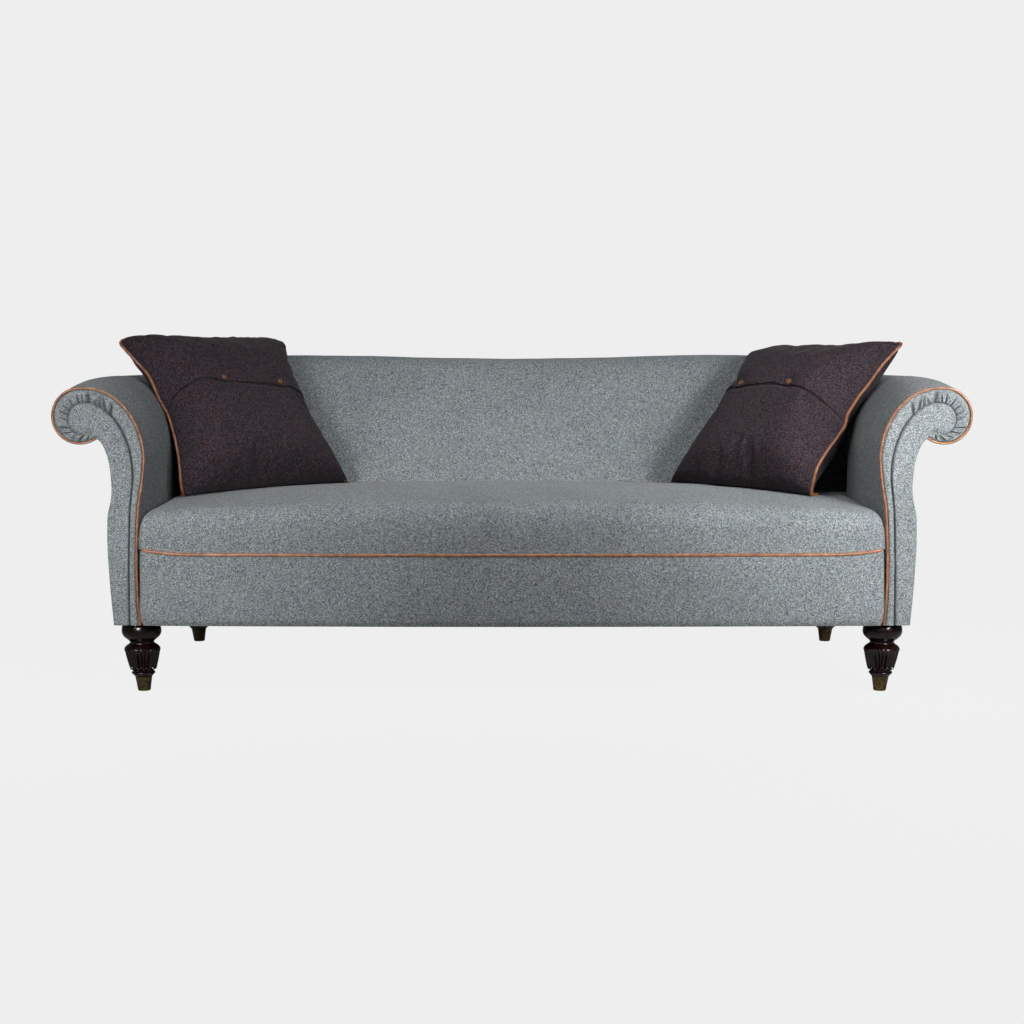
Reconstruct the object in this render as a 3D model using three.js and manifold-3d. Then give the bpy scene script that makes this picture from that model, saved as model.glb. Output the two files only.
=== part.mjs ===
// English roll arm sofa with two scatter cushions, in millimetres.
// X runs along the sofa, Y from its front to its back and Z up from the floor.
// Left and right are those of a viewer who stands in front, so the right side has positive X.
import * as THREE from "three";
import { mergeVertices } from "three/addons/utils/BufferGeometryUtils.js";
import Module from "manifold-3d";

const wasm = await Module();
wasm.setup();

// Clearances and thin layers
const gap = 0.3;
const overrun = 20;
const weldDistance = 0.001;
const leastSpreadShare = 0.5;
const coverThickness = 2.5;
const coverSeat = coverThickness + gap;
const pipingRadius = 3;

// Overall body
const sofaWidth = 2200;
const bodyBottom = 165;
const facingPlane = -450;
const rearFoot = 441.23;
const rearLeanShare = 0.074;
const halfWidth = sofaWidth / 2;

// Rolled arm: the scroll of the facing, then the fuller roll behind it
const scrollRadius = 66;
const scrollCentreHeight = 665;
const scrollOverhang = 152.5;
const crestLead = 10;
const waistDrop = 110;
const waistHeight = scrollCentreHeight - waistDrop;
const ogeeSwell = 17.5;
const outerReach = 41;
const rollGrowth = 10;
const rollRise = 16;
const rollShift = 6;
const armTurn = 36.5;
const notchTurn = THREE.MathUtils.degToRad(-125);
const quarterTurn = Math.PI / 2;
const scrollCentreOut = halfWidth - pipingRadius - scrollRadius;
const waistOut = scrollCentreOut - scrollOverhang;
const rearWaist = waistOut + armTurn;
const coverFront = facingPlane + pipingRadius + gap;
const armRun = rearFoot - coverFront;
const crestSteps = 5;
const rollSteps = 9;

// [height, swell] of the inner edge below the waist, and [height, reach] of the outer edge
const ogeeShares = [[0, 0.46], [0.16, 0.83], [0.4, 1], [0.69, 0.83], [0.86, 0.31]];
const outerShares = [
  [0.974, 0.72], [0.93, 0.48], [0.887, 0.32], [0.808, 0.18], [0.71, 0.122],
  [0.655, 0.18], [0.564, 0.372], [0.456, 0.389], [0.271, 0.268], [0, 0],
];
// [run to the rear, growth of the roll, turn outwards of the inner face]
const armPlanShares = [
  [0, 0.04, 0], [0.01, 0.12, -0.05], [0.03, 0.25, -0.09], [0.08, 0.5, -0.15], [0.2, 0.85, -0.26],
  [0.4, 1, -0.12], [0.5, 1, 0.26], [0.57, 1, 0.76], [0.63, 1, 1], [1, 1, 1],
];
const padGrowthShare = 0.2;
const coverLowerEnd = 300;
const armPadThickness = 24;
const rollPadThickness = 26;

// Bow of the seat front: how far it stands before the facings at the ends and at the middle
const frontProud = 12;
const frontBow = 21;
const seatLap = 10;
const seatHalfWidth = waistOut + seatLap;
const seatCornerRadius = 16;

// Facing of the arm: centre panel, pleated border and the seam between them
const facingDepth = 10;
const panelCrown = 3;
const borderPuff = 3;
const pleatDepth = 2.6;
const borderInset = 5.5;
const seamGroove = 2;
const knobRadius = 39;
const knobDrop = 8;
const knobCentreHeight = scrollCentreHeight - knobDrop;
const knobLead = 10;
const seamWaistLead = 26.5;
const seamWaistDrop = 42;
const seamWaistHeight = waistHeight - seamWaistDrop;
const seamFootLead = 9;
const pleatSteps = 16 * 3;
const borderLowerSteps = 8;
const seamLowerShares = [[0, 0.8], [0.4, 1], [0.76, 0.8]];
// Depth of the fold at each step of a pleat, and the crown of the border across its width
const pleatShares = [1, 0, 0.45];
const borderCrownShares = [0.3, 0.72];
const armPipingSteps = 34;
const seatPipingSteps = 20;
const seatPipingSpans = 6;
const pipingSides = 6;

// Frame
const postThickness = 24;
const railThickness = 28;
const railHeight = 97;
const frameBottom = 169;
const frameTop = frameBottom + railHeight;
const borderThickness = 8;
const sideRailOut = rearWaist;
const springRailFront = 250;
const braceHeight = 80;
const braceWidth = 32;
const armRailSize = 36;
const uprightOut = 300;
const uprightWidth = 30;
const uprightFootDepth = 110;
const topRailHeight = 55;
const topRailLap = 35;
const topRailHalf = rearWaist + topRailLap;

// Seat
const seatCrest = 480;
const seatSideFall = 30;
const seatRunFall = 16;
const seatCrestPlace = -105;
const seatHalfRun = 326;
const seatRear = 245;
const seatTuck = 33.5;
const padEndGap = 22;
const seatOuterHalf = waistOut + seatTuck;
const noseStart = 85;
const noseDrop = 88;
const noseHeight = seatCrest - noseDrop;
const seatDrop = 145;
const pipingHeight = seatCrest - seatDrop;
const noseSteps = 4;
const nosePullShares = [0.6, 0.75];
const sideFallPowerShare = 2.2;
const seatTopShares = [0, 0.19, 0.4, 0.62, 0.82];
const seatWidthShares = [0, 0.25, 0.48, 0.69, 0.87];
const seatCornerShares = [0.5, 0.87, 1];

// Back
const backFaceAtSeat = 221;
const backSeatDrop = 16;
const backSeatHeight = seatCrest - backSeatDrop;
const backSlopeShare = 0.3;
const backBowRadius = 4500;
const backTuck = 73;
const backHalfWidth = rearWaist + backTuck;
const rearPanelRise = 65;
const rearPanelTop = scrollCentreHeight + rearPanelRise;
const backRise = 82;
const backRollDrop = 70;
const backRollStart = rearPanelTop - backRollDrop;
const topRailDrop = 40;
const topRailBottom = rearPanelTop - topRailDrop;
const backLowerEnd = 300;
const webbingThickness = 1.5;
const webbingInset = 35;
const webbingHalfWidth = rearWaist - webbingInset;
const backRollSteps = 4;
const backRollPullShare = 0.55;
// [distance from the middle, rise of the top above the rear panel]
const backTopShares = [
  [0, 0.88], [0.2, 0.91], [0.4, 0.97], [0.61, 1], [0.78, 0.95],
  [0.88, 0.83], [0.94, 0.63], [0.975, 0.425], [1, 0.21],
];

// Springs and what lies on them
const wireRadius = 2;
const wireSides = 3;
const springCount = 8;
const springPitch = 212;
const springSwing = 22;
const springWaveCount = 4;
const springWaveSteps = 4;
const springRise = 20;
const springSetBack = 10;
const hessianThickness = 1.5;
const hessianInset = 22.5;
const hessianHalfWidth = seatHalfWidth - hessianInset;
const tieShares = [0.32, 0.68];

// Legs
const legInset = 18.5;
const legRake = 8;
const legOut = waistOut + legInset;
const legPlace = 390;
const fluteCount = 14;
const fluteDepth = 4.5;
const legPlateRadius = 42;
const boltRadius = 4;
const boltLength = 24;
const blockThickness = 30;
const blockRun = 60;
const blockInner = legOut - blockRun;
const boreSides = 12;
const blockReach = 70;
const ferruleTopRadius = 20.5;
const ferruleFootRadius = 15.3;
const ferruleHeight = 35;
const ferruleWall = 1.2;
const ferruleSides = 18;
const legTopRadius = 47;
const dustCoverThickness = 1.5;

// Scatter cushions
const cushionSize = 498;
const cushionThickness = 175;
const cushionDrawShare = 0.075;
const cushionSteps = 12;
const cushionPipingRadius = 3.5;
const cushionPipingSteps = 48;
const cushionSeamSlack = 1.5;
const flapThickness = 1.5;
const buttonRadius = 8;
const buttonHeight = 5;
const flapEdgeShare = 0.085;
const flapCornerShare = 0.17;
const flapTurnShare = 0.45;
const buttonRiseShare = 0.06;
const buttonPlaceShares = [-0.27, 0.54];
const buttonSides = 12;
// [radius, height] of a covered button
const buttonProfileShares = [[0, 0], [0.8, 0], [1, 0.35], [0.75, 0.8], [0, 1]];
// Place of each cushion's centre in shares of its size: in from the arm, out from the back and
// up from the seat's crest
const cushionPlaceShares = { left: [0.2882, 0.3956, 0.362], right: [0.3263, 0.4538, 0.341] };
// Turn, lean and roll of each cushion, in degrees
const cushionAngles = { left: [39.5, -38.3, -3.1], right: [-50.8, -43.3, -0.4] };

// Materials
const finish = (color, roughness, metalness = 0) =>
  new THREE.MeshStandardMaterial({ color, roughness, metalness });
const tweed = finish(0x76828a, 0.95);
const darkTweed = finish(0x352b32, 0.95);
const tanLeather = finish(0xa9673f, 0.5);
const buttonLeather = finish(0x7a4526, 0.45);
const mahogany = finish(0x2a1411, 0.25);
const agedBrass = finish(0x77664f, 0.4, 0.9);
const beech = finish(0xb58f62, 0.7);
const springSteel = finish(0x55585c, 0.4, 0.9);
const jute = finish(0xa58a62, 0.95);
const wadding = finish(0xd9d4c6, 0.98);
const blackCloth = finish(0x17181a, 0.95);

const sofa = new THREE.Group();

// Give a solid its name and finish and put it in the sofa.
function add(name, geometry, material) {
  const mesh = new THREE.Mesh(geometry, material);
  mesh.name = name;
  sofa.add(mesh);
}

// Add the right-hand piece and its mirror image on the left.
function addPair(name, geometry, material) {
  add(`right_${name}`, geometry, material);
  add(`left_${name}`, mirrored(geometry), material);
}

// Position only, with shared corners welded.
function welded(geometry) {
  const bare = geometry.clone();
  bare.deleteAttribute("normal");
  bare.deleteAttribute("uv");
  return mergeVertices(bare, weldDistance);
}

// The mirror image across the sofa's middle plane, with its faces still pointing out.
function mirrored(geometry) {
  const copy = welded(geometry);
  const place = copy.getAttribute("position");
  for (let i = 0; i < place.count; i++) place.setX(i, -place.getX(i));
  const corners = copy.index.array;
  for (let i = 0; i < corners.length; i += 3) {
    [corners[i + 1], corners[i + 2]] = [corners[i + 2], corners[i + 1]];
  }
  return copy;
}

function asSolid(geometry) {
  const shape = welded(geometry);
  return new wasm.Manifold(new wasm.Mesh({
    numProp: 3,
    vertProperties: Float32Array.from(shape.getAttribute("position").array),
    triVerts: Uint32Array.from(shape.index.array),
  }));
}

function asGeometry(solid) {
  const mesh = solid.getMesh();
  const geometry = new THREE.BufferGeometry();
  geometry.setAttribute("position", new THREE.BufferAttribute(mesh.vertProperties, 3));
  geometry.setIndex(new THREE.BufferAttribute(mesh.triVerts, 1));
  return geometry;
}

// Cut the tools off a geometry. Offcuts beyond a tool are dropped.
function trimmed(geometry, tools) {
  let solid = asSolid(geometry);
  for (const tool of tools) solid = solid.subtract(tool);
  const bodies = solid.decompose();
  bodies.sort((a, b) => b.volume() - a.volume());
  return asGeometry(bodies[0]);
}

// Close a row of rings of equal length into one body. Each ring is a list of [x, y, z], and
// across and up name the two coordinates in which the end rings are filled.
function loft(rings, across, up) {
  const count = rings[0].length;
  const faces = [];
  for (let r = 0; r < rings.length - 1; r++) {
    for (let i = 0; i < count; i++) {
      const a = r * count + i;
      const b = r * count + (i + 1) % count;
      faces.push(a, b, b + count, a, b + count, a + count);
    }
  }
  const last = (rings.length - 1) * count;
  for (const [a, b, c] of filled(rings[0], across, up)) faces.push(a, c, b);
  for (const [a, b, c] of filled(rings.at(-1), across, up)) faces.push(last + a, last + b, last + c);
  const geometry = new THREE.BufferGeometry();
  geometry.setAttribute("position", new THREE.Float32BufferAttribute(rings.flat(2), 3));
  geometry.setIndex(faces);
  return facingOut(geometry);
}

// Triangles that fill a ring, turning the way the ring runs.
function filled(ring, across, up) {
  const flat = ring.map((point) => new THREE.Vector2(point[across], point[up]));
  const turn = Math.sign(THREE.ShapeUtils.area(flat));
  return THREE.ShapeUtils.triangulateShape(flat, []).map(([a, b, c]) => {
    const same = Math.sign(THREE.ShapeUtils.area([flat[a], flat[b], flat[c]])) === turn;
    return same ? [a, b, c] : [a, c, b];
  });
}

function facingOut(geometry) {
  const place = geometry.getAttribute("position");
  const corners = geometry.index.array;
  const [a, b, c] = [new THREE.Vector3(), new THREE.Vector3(), new THREE.Vector3()];
  let volume = 0;
  for (let i = 0; i < corners.length; i += 3) {
    a.fromBufferAttribute(place, corners[i]);
    b.fromBufferAttribute(place, corners[i + 1]);
    c.fromBufferAttribute(place, corners[i + 2]);
    volume += a.dot(b.cross(c));
  }
  if (volume < 0) {
    for (let i = 0; i < corners.length; i += 3) {
      [corners[i + 1], corners[i + 2]] = [corners[i + 2], corners[i + 1]];
    }
  }
  return geometry;
}

// Move each point of a flat outline to its right-hand side by a distance. The distance can be
// a number, or a function of the share of the way along the outline.
function shifted(points, distance, closed) {
  const last = points.length - 1;
  return points.map(([u, z], i) => {
    const before = points[i > 0 ? i - 1 : (closed ? last : 0)];
    const after = points[i < last ? i + 1 : (closed ? 0 : last)];
    const first = new THREE.Vector2(u - before[0], z - before[1]).normalize();
    const second = new THREE.Vector2(after[0] - u, after[1] - z).normalize();
    const along = first.clone().add(second).normalize();
    const spread = Math.max(Math.abs(along.dot(i < last || closed ? second : first)), leastSpreadShare);
    const step = (typeof distance === "function" ? distance(i / last) : distance) / spread;
    return [u + along.y * step, z - along.x * step];
  });
}

// A thin layer that follows an open outline: out along it and back on its right-hand side.
function layerRing(points, thickness) {
  return [...points, ...shifted(points, thickness, false).reverse()];
}

// A plate between two upright surfaces, given as functions of the height.
function standingPlate(outline, frontAt, backAt) {
  const rings = [frontAt, backAt].map((depthAt) => outline.map(([u, z]) => [u, depthAt(z), z]));
  return loft(rings, 0, 2);
}

// A board whose side outline, in [y, z], is drawn out along X.
function crossBoard(outline, from, to) {
  return loft([from, to].map((x) => outline.map(([y, z]) => [x, y, z])), 1, 2);
}

function polygon(radius, sides) {
  const corners = [];
  for (let i = 0; i < sides; i++) {
    const turn = (2 * Math.PI * i) / sides;
    corners.push(new THREE.Vector2(radius * Math.cos(turn), radius * Math.sin(turn)));
  }
  return corners;
}

function tube(points, radius, steps, sides) {
  const path = new THREE.CatmullRomCurve3(points.map((point) => new THREE.Vector3(...point)));
  const section = new THREE.Shape(polygon(radius, sides));
  return new THREE.ExtrudeGeometry(section, { steps, extrudePath: path, bevelEnabled: false });
}

const rearPlane = (z) => rearFoot + (z - bodyBottom) * rearLeanShare;
const rearInside = (z) => rearPlane(z) - coverSeat;
const postFront = (z) => rearInside(z) - postThickness;
const mix = THREE.MathUtils.lerp;

// Front line of the seat seen from above, and its rounded corners.
function bowAt(x) {
  const share = x / (seatHalfWidth - frontProud);
  return facingPlane - frontProud - frontBow * (1 - share * share);
}

function seatFrontAt(x) {
  const past = Math.min(Math.abs(x) - (seatHalfWidth - seatCornerRadius), seatCornerRadius);
  if (past <= 0) return bowAt(x);
  return bowAt(x) + seatCornerRadius - Math.sqrt(seatCornerRadius ** 2 - past ** 2);
}

// Inner edge and roll of an arm, from its foot up the inside, over the top and round to the
// notch under the roll. Growth goes from 0 at the facing to 1 where the roll is full.
function armRoll(growth, waist) {
  const points = ogeeShares.map(([height, swell]) => [
    waist + ogeeSwell * (1 - growth) * swell,
    mix(bodyBottom, waistHeight, height),
  ]);
  const radius = scrollRadius + rollGrowth * growth;
  const centreHeight = scrollCentreHeight + rollRise * growth;
  const centreOut = scrollCentreOut - rollShift * growth;
  const crestOut = centreOut - crestLead * (1 - growth);
  const crestRise = centreHeight + radius - waistHeight;
  for (let i = 0; i <= crestSteps; i++) {
    const turn = (quarterTurn * i) / crestSteps;
    points.push([
      crestOut - (crestOut - waist) * Math.cos(turn),
      waistHeight + crestRise * Math.sin(turn),
    ]);
  }
  for (let i = 1; i <= rollSteps; i++) {
    const turn = mix(quarterTurn, notchTurn, i / rollSteps);
    points.push([centreOut + radius * Math.cos(turn), centreHeight + radius * Math.sin(turn)]);
  }
  return points;
}

// Outer edge of an arm from just below the notch to its foot.
function armOuterEdge(growth) {
  const radius = scrollRadius + rollGrowth * growth;
  const notchOut = scrollCentreOut - rollShift * growth + radius * Math.cos(notchTurn);
  const notchHeight = scrollCentreHeight + rollRise * growth + radius * Math.sin(notchTurn);
  const facingNotch = scrollCentreOut + scrollRadius * Math.cos(notchTurn);
  const footOut = facingNotch - outerReach;
  return outerShares.map(([height, reach]) => [
    footOut + (notchOut - footOut) * reach,
    mix(bodyBottom, notchHeight, height),
  ]);
}

const armOutline = (growth, waist) => [...armRoll(growth, waist), ...armOuterEdge(growth)];

// Stations along an arm, from a front plane to the rear cover.
function armStations(front, rear) {
  return armPlanShares.map(([run, growth, turn], i) => {
    const place = coverFront + armRun * run;
    const last = i === armPlanShares.length - 1;
    return {
      growth,
      waist: waistOut + armTurn * turn,
      depthAt: (z) => (last ? rear(z) : Math.max(place, front)),
    };
  });
}

// The whole arm, grown by a clearance, as a tool that cuts what fits against it. In front of
// the facing it is grown by the piping too.
function armBlock(grow) {
  const rings = armStations(coverFront, (z) => rearPlane(z) + overrun).map((station) =>
    shifted(armOutline(station.growth, station.waist), -grow, true)
      .map(([u, z]) => [u, station.depthAt(z), z]));
  const facing = shifted(armOutline(0, waistOut), -(pipingRadius + grow), true);
  const front = facingPlane - frontProud - overrun;
  const nose = [front, coverFront - grow].map((y) => facing.map(([u, z]) => [u, y, z]));
  return loft([...nose, ...rings.slice(1)], 0, 2);
}

// Frame

const facingRoll = armRoll(0, waistOut);
const scrollPostFront = facingPlane + facingDepth;
const scrollPostBack = scrollPostFront + postThickness;
const aboveFrameBottom = ([u, z]) => [u, Math.max(z, frameBottom)];

// The post stays inside the covers, both where the roll is slim and where it is full.
function scrollPost() {
  const [slim, full] = [0, 1].map((growth) => {
    const outline = shifted(armOutline(growth, waistOut), coverSeat + gap, true);
    const plate = standingPlate(outline.map(aboveFrameBottom), () => scrollPostFront, () => scrollPostBack);
    return asSolid(plate);
  });
  return asGeometry(slim.intersect(full));
}

function backPost() {
  const outline = shifted(armOutline(1, rearWaist), coverSeat, true).map(aboveFrameBottom);
  return standingPlate(outline, postFront, rearInside);
}

function armRail() {
  const centreOut = scrollCentreOut - rollShift;
  const bottom = scrollCentreHeight + rollRise - armRailSize / 2;
  const top = bottom + armRailSize;
  const outline = [
    [scrollPostBack + gap, bottom], [scrollPostBack + gap, top],
    [postFront(top) - gap, top], [postFront(bottom) - gap, bottom],
  ];
  return crossBoard(outline, centreOut - armRailSize / 2, centreOut + armRailSize / 2);
}

function sideRail() {
  const outline = [
    [scrollPostBack + gap, frameBottom], [scrollPostBack + gap, frameTop],
    [postFront(frameTop) - gap, frameTop], [postFront(frameBottom) - gap, frameBottom],
  ];
  return crossBoard(outline, sideRailOut, sideRailOut + railThickness);
}

// The bowed front rail lies behind the front border.
const frontRailFace = (x) => bowAt(x) + borderThickness + gap;
const frontRailBack = (x) => frontRailFace(x) + railThickness;

// Places along X of the seat's side outlines, up to where its corners begin.
const seatCornerStart = seatHalfWidth - seatCornerRadius;
function bowPlaces() {
  const half = [...seatWidthShares.map((share) => share * seatHalfWidth), seatCornerStart];
  return [...half.slice(1).reverse().map((x) => -x), ...half];
}

function levelBoard(plan, bottom, top) {
  return loft([bottom, top].map((z) => plan.map(([x, y]) => [x, y, z])), 0, 1);
}

function frontRail() {
  const front = bowPlaces().map((x) => [x, frontRailFace(x)]);
  const back = bowPlaces().reverse().map((x) => [x, frontRailBack(x)]);
  return levelBoard([...front, ...back], frameBottom, frameTop);
}

function backRail() {
  const outline = [
    [postFront(frameBottom), frameBottom], [postFront(frameTop), frameTop],
    [rearInside(frameTop), frameTop], [rearInside(frameBottom), frameBottom],
  ];
  const half = rearWaist + coverSeat - gap;
  return crossBoard(outline, -half, half);
}

function springRail() {
  const back = springRailFront + railThickness;
  const outline = [
    [springRailFront, frameBottom], [springRailFront, frameTop],
    [back, frameTop], [back, frameBottom],
  ];
  return crossBoard(outline, -(sideRailOut - gap), sideRailOut - gap);
}

function seatBrace() {
  const front = frontRailBack(0) + gap;
  const back = springRailFront - gap;
  const top = frameBottom + braceHeight;
  const outline = [[front, frameBottom], [front, top], [back, top], [back, frameBottom]];
  return crossBoard(outline, -braceWidth / 2, braceWidth / 2);
}

const topRailTop = topRailBottom + topRailHeight;
const topRailFace = (z) => postFront(z) - gap - railThickness;
const uprightFoot = frameTop + gap;
const uprightTop = topRailBottom - gap;
const uprightFaceAt = (z) => mix(
  rearInside(uprightFoot) - uprightFootDepth,
  topRailFace(uprightTop),
  (z - uprightFoot) / (uprightTop - uprightFoot),
);

// The top back rail, or the same grown by a clearance as a tool.
function topRail(grow) {
  const [bottom, top] = [topRailBottom - grow, topRailTop + grow];
  const outline = [
    [topRailFace(bottom) - grow, bottom], [topRailFace(top) - grow, top],
    [postFront(top) - gap + grow, top], [postFront(bottom) - gap + grow, bottom],
  ];
  return crossBoard(outline, -topRailHalf - grow, topRailHalf + grow);
}

function backUpright() {
  const outline = [
    [uprightFaceAt(uprightFoot), uprightFoot], [uprightFaceAt(uprightTop), uprightTop],
    [rearInside(uprightTop), uprightTop], [rearInside(uprightFoot), uprightFoot],
  ];
  return crossBoard(outline, uprightOut, uprightOut + uprightWidth);
}

// Triangular block in a corner of the seat frame, bored for the leg's bolt.
function cornerBlock(front) {
  const inner = sideRailOut - gap;
  const nearFace = front
    ? [[blockInner, frontRailBack(blockInner) + gap], [seatCornerStart, scrollPostBack + gap],
      [inner, scrollPostBack + gap]]
    : [[blockInner, postFront(frameBottom) - gap], [inner, postFront(frameBottom) - gap]];
  const sign = front ? 1 : -1;
  const plan = [
    ...nearFace,
    [inner, sign * -(legPlace - blockReach)],
    [legOut - boltLength, sign * -(legPlace - blockReach)],
    [blockInner, sign * -legPlace],
  ];
  const block = levelBoard(plan, frameBottom, frameBottom + blockThickness);
  const bore = new THREE.CylinderGeometry(boltRadius + gap, boltRadius + gap, blockThickness * 2, boreSides);
  bore.rotateX(quarterTurn);
  bore.translate(legOut, sign * -legPlace, frameBottom + blockThickness / 2);
  return trimmed(block, [asSolid(bore)]);
}

// The legs rake inwards a little: how far out their centre is at a height.
const rakedOut = (z) => legOut - legRake * (1 - Math.min(z / bodyBottom, 1));

// Turned and fluted leg. Each row is [radius, height, flute depth]; the heights run from the
// bolt's end down to the spigot in the ferrule.
function leg(place) {
  const plateTop = frameBottom - gap;
  const spigotTop = ferruleTopRadius - ferruleWall - gap;
  const spigotFoot = ferruleFootRadius - ferruleWall - gap;
  const turning = bodyBottom - ferruleHeight;
  const heightAt = (share) => ferruleHeight + turning * share;
  const rowShares = [
    [1, 0.84, 0], [0.93, 0.76, 0], [0.61, 0.63, 0], [0.83, 0.555, 0],
    [0.92, 0.508, 0], [0.88, 0.46, 1], [0.677, 0.128, 1], [0.52, 0.1, 0], [0.594, 0.062, 0],
    [0.5, 0.019, 0],
  ];
  const rows = [
    [boltRadius, plateTop + boltLength, 0], [boltRadius, plateTop, 0],
    [legPlateRadius, plateTop, 0], [legPlateRadius, bodyBottom, 0],
    ...rowShares.map(([radius, height, flute]) =>
      [legTopRadius * radius, heightAt(height), fluteDepth * flute]),
    [spigotTop, ferruleHeight, 0], [spigotFoot, ferruleWall + gap, 0],
  ];
  const sides = fluteCount * 2;
  const rings = rows.map(([radius, z, depth]) => {
    const ring = [];
    for (let i = 0; i < sides; i++) {
      const turn = (2 * Math.PI * i) / sides;
      const reach = radius - (i % 2 === 0 ? 0 : depth);
      ring.push([rakedOut(z) + reach * Math.cos(turn), place + reach * Math.sin(turn), z]);
    }
    return ring;
  });
  return loft(rings, 0, 1);
}

function ferrule(place) {
  const profile = [
    [0, 0], [ferruleFootRadius, 0], [ferruleTopRadius, ferruleHeight],
    [ferruleTopRadius - ferruleWall, ferruleHeight],
    [ferruleFootRadius - ferruleWall, ferruleWall], [0, ferruleWall],
  ].map(([radius, z]) => new THREE.Vector2(radius, z));
  const cup = new THREE.LatheGeometry(profile, ferruleSides);
  cup.rotateX(quarterTurn);
  const corners = cup.getAttribute("position");
  for (let i = 0; i < corners.count; i++) corners.setX(i, corners.getX(i) + rakedOut(corners.getZ(i)));
  cup.translate(0, place, 0);
  return cup;
}

// Seat springs: serpentine wires that arch from the front rail to the spring rail, tied by
// cross wires into one unit.
const wireSeat = frameTop + gap + wireRadius;
const springFrontAt = (x) => frontRailFace(x) + springSetBack;
const springBack = springRailFront + railThickness - springSetBack;
const archAt = (share) => springRise * (1 - (2 * share - 1) ** 2);

function springUnit() {
  const steps = springWaveCount * springWaveSteps;
  let unit = null;
  const join = (geometry) => {
    unit = unit ? unit.add(asSolid(geometry)) : asSolid(geometry);
  };
  const firstX = (-springPitch * (springCount - 1)) / 2;
  for (let k = 0; k < springCount; k++) {
    const x = firstX + springPitch * k;
    const points = [];
    for (let i = 0; i <= steps; i++) {
      const share = i / steps;
      points.push([
        x + springSwing * Math.sin(2 * Math.PI * springWaveCount * share),
        mix(springFrontAt(x), springBack, share),
        wireSeat + archAt(share),
      ]);
    }
    join(tube(points, wireRadius, steps, wireSides));
  }
  for (const share of tieShares) {
    const y = mix(springFrontAt(0), springBack, share);
    const z = wireSeat + archAt(share);
    join(tube([[firstX - springSwing, y, z], [-firstX + springSwing, y, z]], wireRadius, 1, wireSides));
  }
  return asGeometry(unit);
}

const hessianUnder = wireSeat + wireRadius * 2 + gap;
const hessianTop = hessianUnder + hessianThickness;
const archSteps = 6;

// Side outline of the arch in [y, z], from the front to the rear.
function archLine(front, height) {
  const points = [];
  for (let i = 0; i <= archSteps; i++) {
    const share = i / archSteps;
    points.push([mix(front, springBack, share), height + archAt(share)]);
  }
  return points;
}

const hessianFront = springFrontAt(hessianHalfWidth);

function hessian() {
  const upper = archLine(hessianFront, hessianTop);
  const lower = archLine(hessianFront, hessianUnder).reverse();
  return crossBoard([...upper, ...lower], -hessianHalfWidth, hessianHalfWidth);
}

// Seat: side outline of its cover at one place along X, in [y, z], from the rear over the
// crown and round the nose to the piping.
function seatCurve(x) {
  const side = Math.min(Math.abs(x) / seatHalfWidth, 1);
  const crest = seatCrest - seatSideFall * side ** sideFallPowerShare;
  const heightAt = (y) => crest - seatRunFall * ((y - seatCrestPlace) / seatHalfRun) ** 2;
  const front = seatFrontAt(x);
  const noseBack = front + noseStart;
  const points = seatTopShares.map((share) => {
    const y = mix(seatRear, noseBack, share);
    return [y, heightAt(y)];
  });
  const nose = new THREE.CubicBezierCurve(
    new THREE.Vector2(noseBack, heightAt(noseBack)),
    new THREE.Vector2(mix(noseBack, front, nosePullShares[0]), heightAt(noseBack)),
    new THREE.Vector2(front, mix(noseHeight, heightAt(noseBack), nosePullShares[1])),
    new THREE.Vector2(front, noseHeight),
  );
  for (const point of nose.getPoints(noseSteps)) points.push([point.x, point.y]);
  points.push([front + gap, pipingHeight + pipingRadius + gap]);
  return points;
}

// Places along X of the seat's side outlines, closer at its corners.
function seatPlaces() {
  const corner = seatCornerShares.map((share) => mix(seatCornerStart, seatHalfWidth, share));
  const outer = [...corner, seatOuterHalf];
  return [...outer.map((x) => -x).reverse(), ...bowPlaces(), ...outer];
}

function seatCover() {
  const rings = seatPlaces().map((x) =>
    layerRing(seatCurve(x), -coverThickness).map(([y, z]) => [x, y, z]));
  return loft(rings, 1, 2);
}

// The pad fills the cover, steps back behind the front border and rests on the hessian.
function seatPad() {
  const rings = seatPlaces().map((x) => {
    const upper = shifted(seatCurve(x), -(coverSeat + gap), false);
    const back = seatFrontAt(x) + borderThickness + gap * 2;
    const rear = hessianTop + gap + archAt((seatRear - hessianFront) / (springBack - hessianFront));
    const floor = archLine(hessianFront, hessianTop + gap).filter(([y]) => y < seatRear);
    floor[0][0] = Math.max(hessianFront, back + gap);
    const step = [[back, pipingHeight + pipingRadius + gap], [back, hessianTop + gap]];
    return [...upper, ...step, ...floor, [seatRear, rear]].map(([y, z]) => [x, y, z]).reverse();
  });
  return loft(rings, 1, 2);
}

// The whole seat, grown upwards, as a tool that flattens what rests on it.
function seatBlock(grow) {
  const rings = seatPlaces().map((x) => {
    const upper = shifted(seatCurve(x), grow, false);
    return [...upper, [upper.at(-1)[0], bodyBottom], [upper[0][0], bodyBottom]]
      .map(([y, z]) => [x, y, z]);
  });
  return loft(rings, 1, 2);
}

const borderTop = pipingHeight - pipingRadius - gap;

function frontBorder() {
  const rings = seatPlaces().map((x) => {
    const face = seatFrontAt(x);
    const back = face + borderThickness;
    const middle = mix(bodyBottom, borderTop, 0.5);
    return [
      [x, face + gap, bodyBottom], [x, face - borderPuff / 2, mix(bodyBottom, middle, 0.5)],
      [x, face - borderPuff, middle], [x, face - borderPuff / 2, mix(middle, borderTop, 0.5)],
      [x, face + gap, borderTop], [x, back, borderTop], [x, back, bodyBottom],
    ];
  });
  return loft(rings, 1, 2);
}

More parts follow.
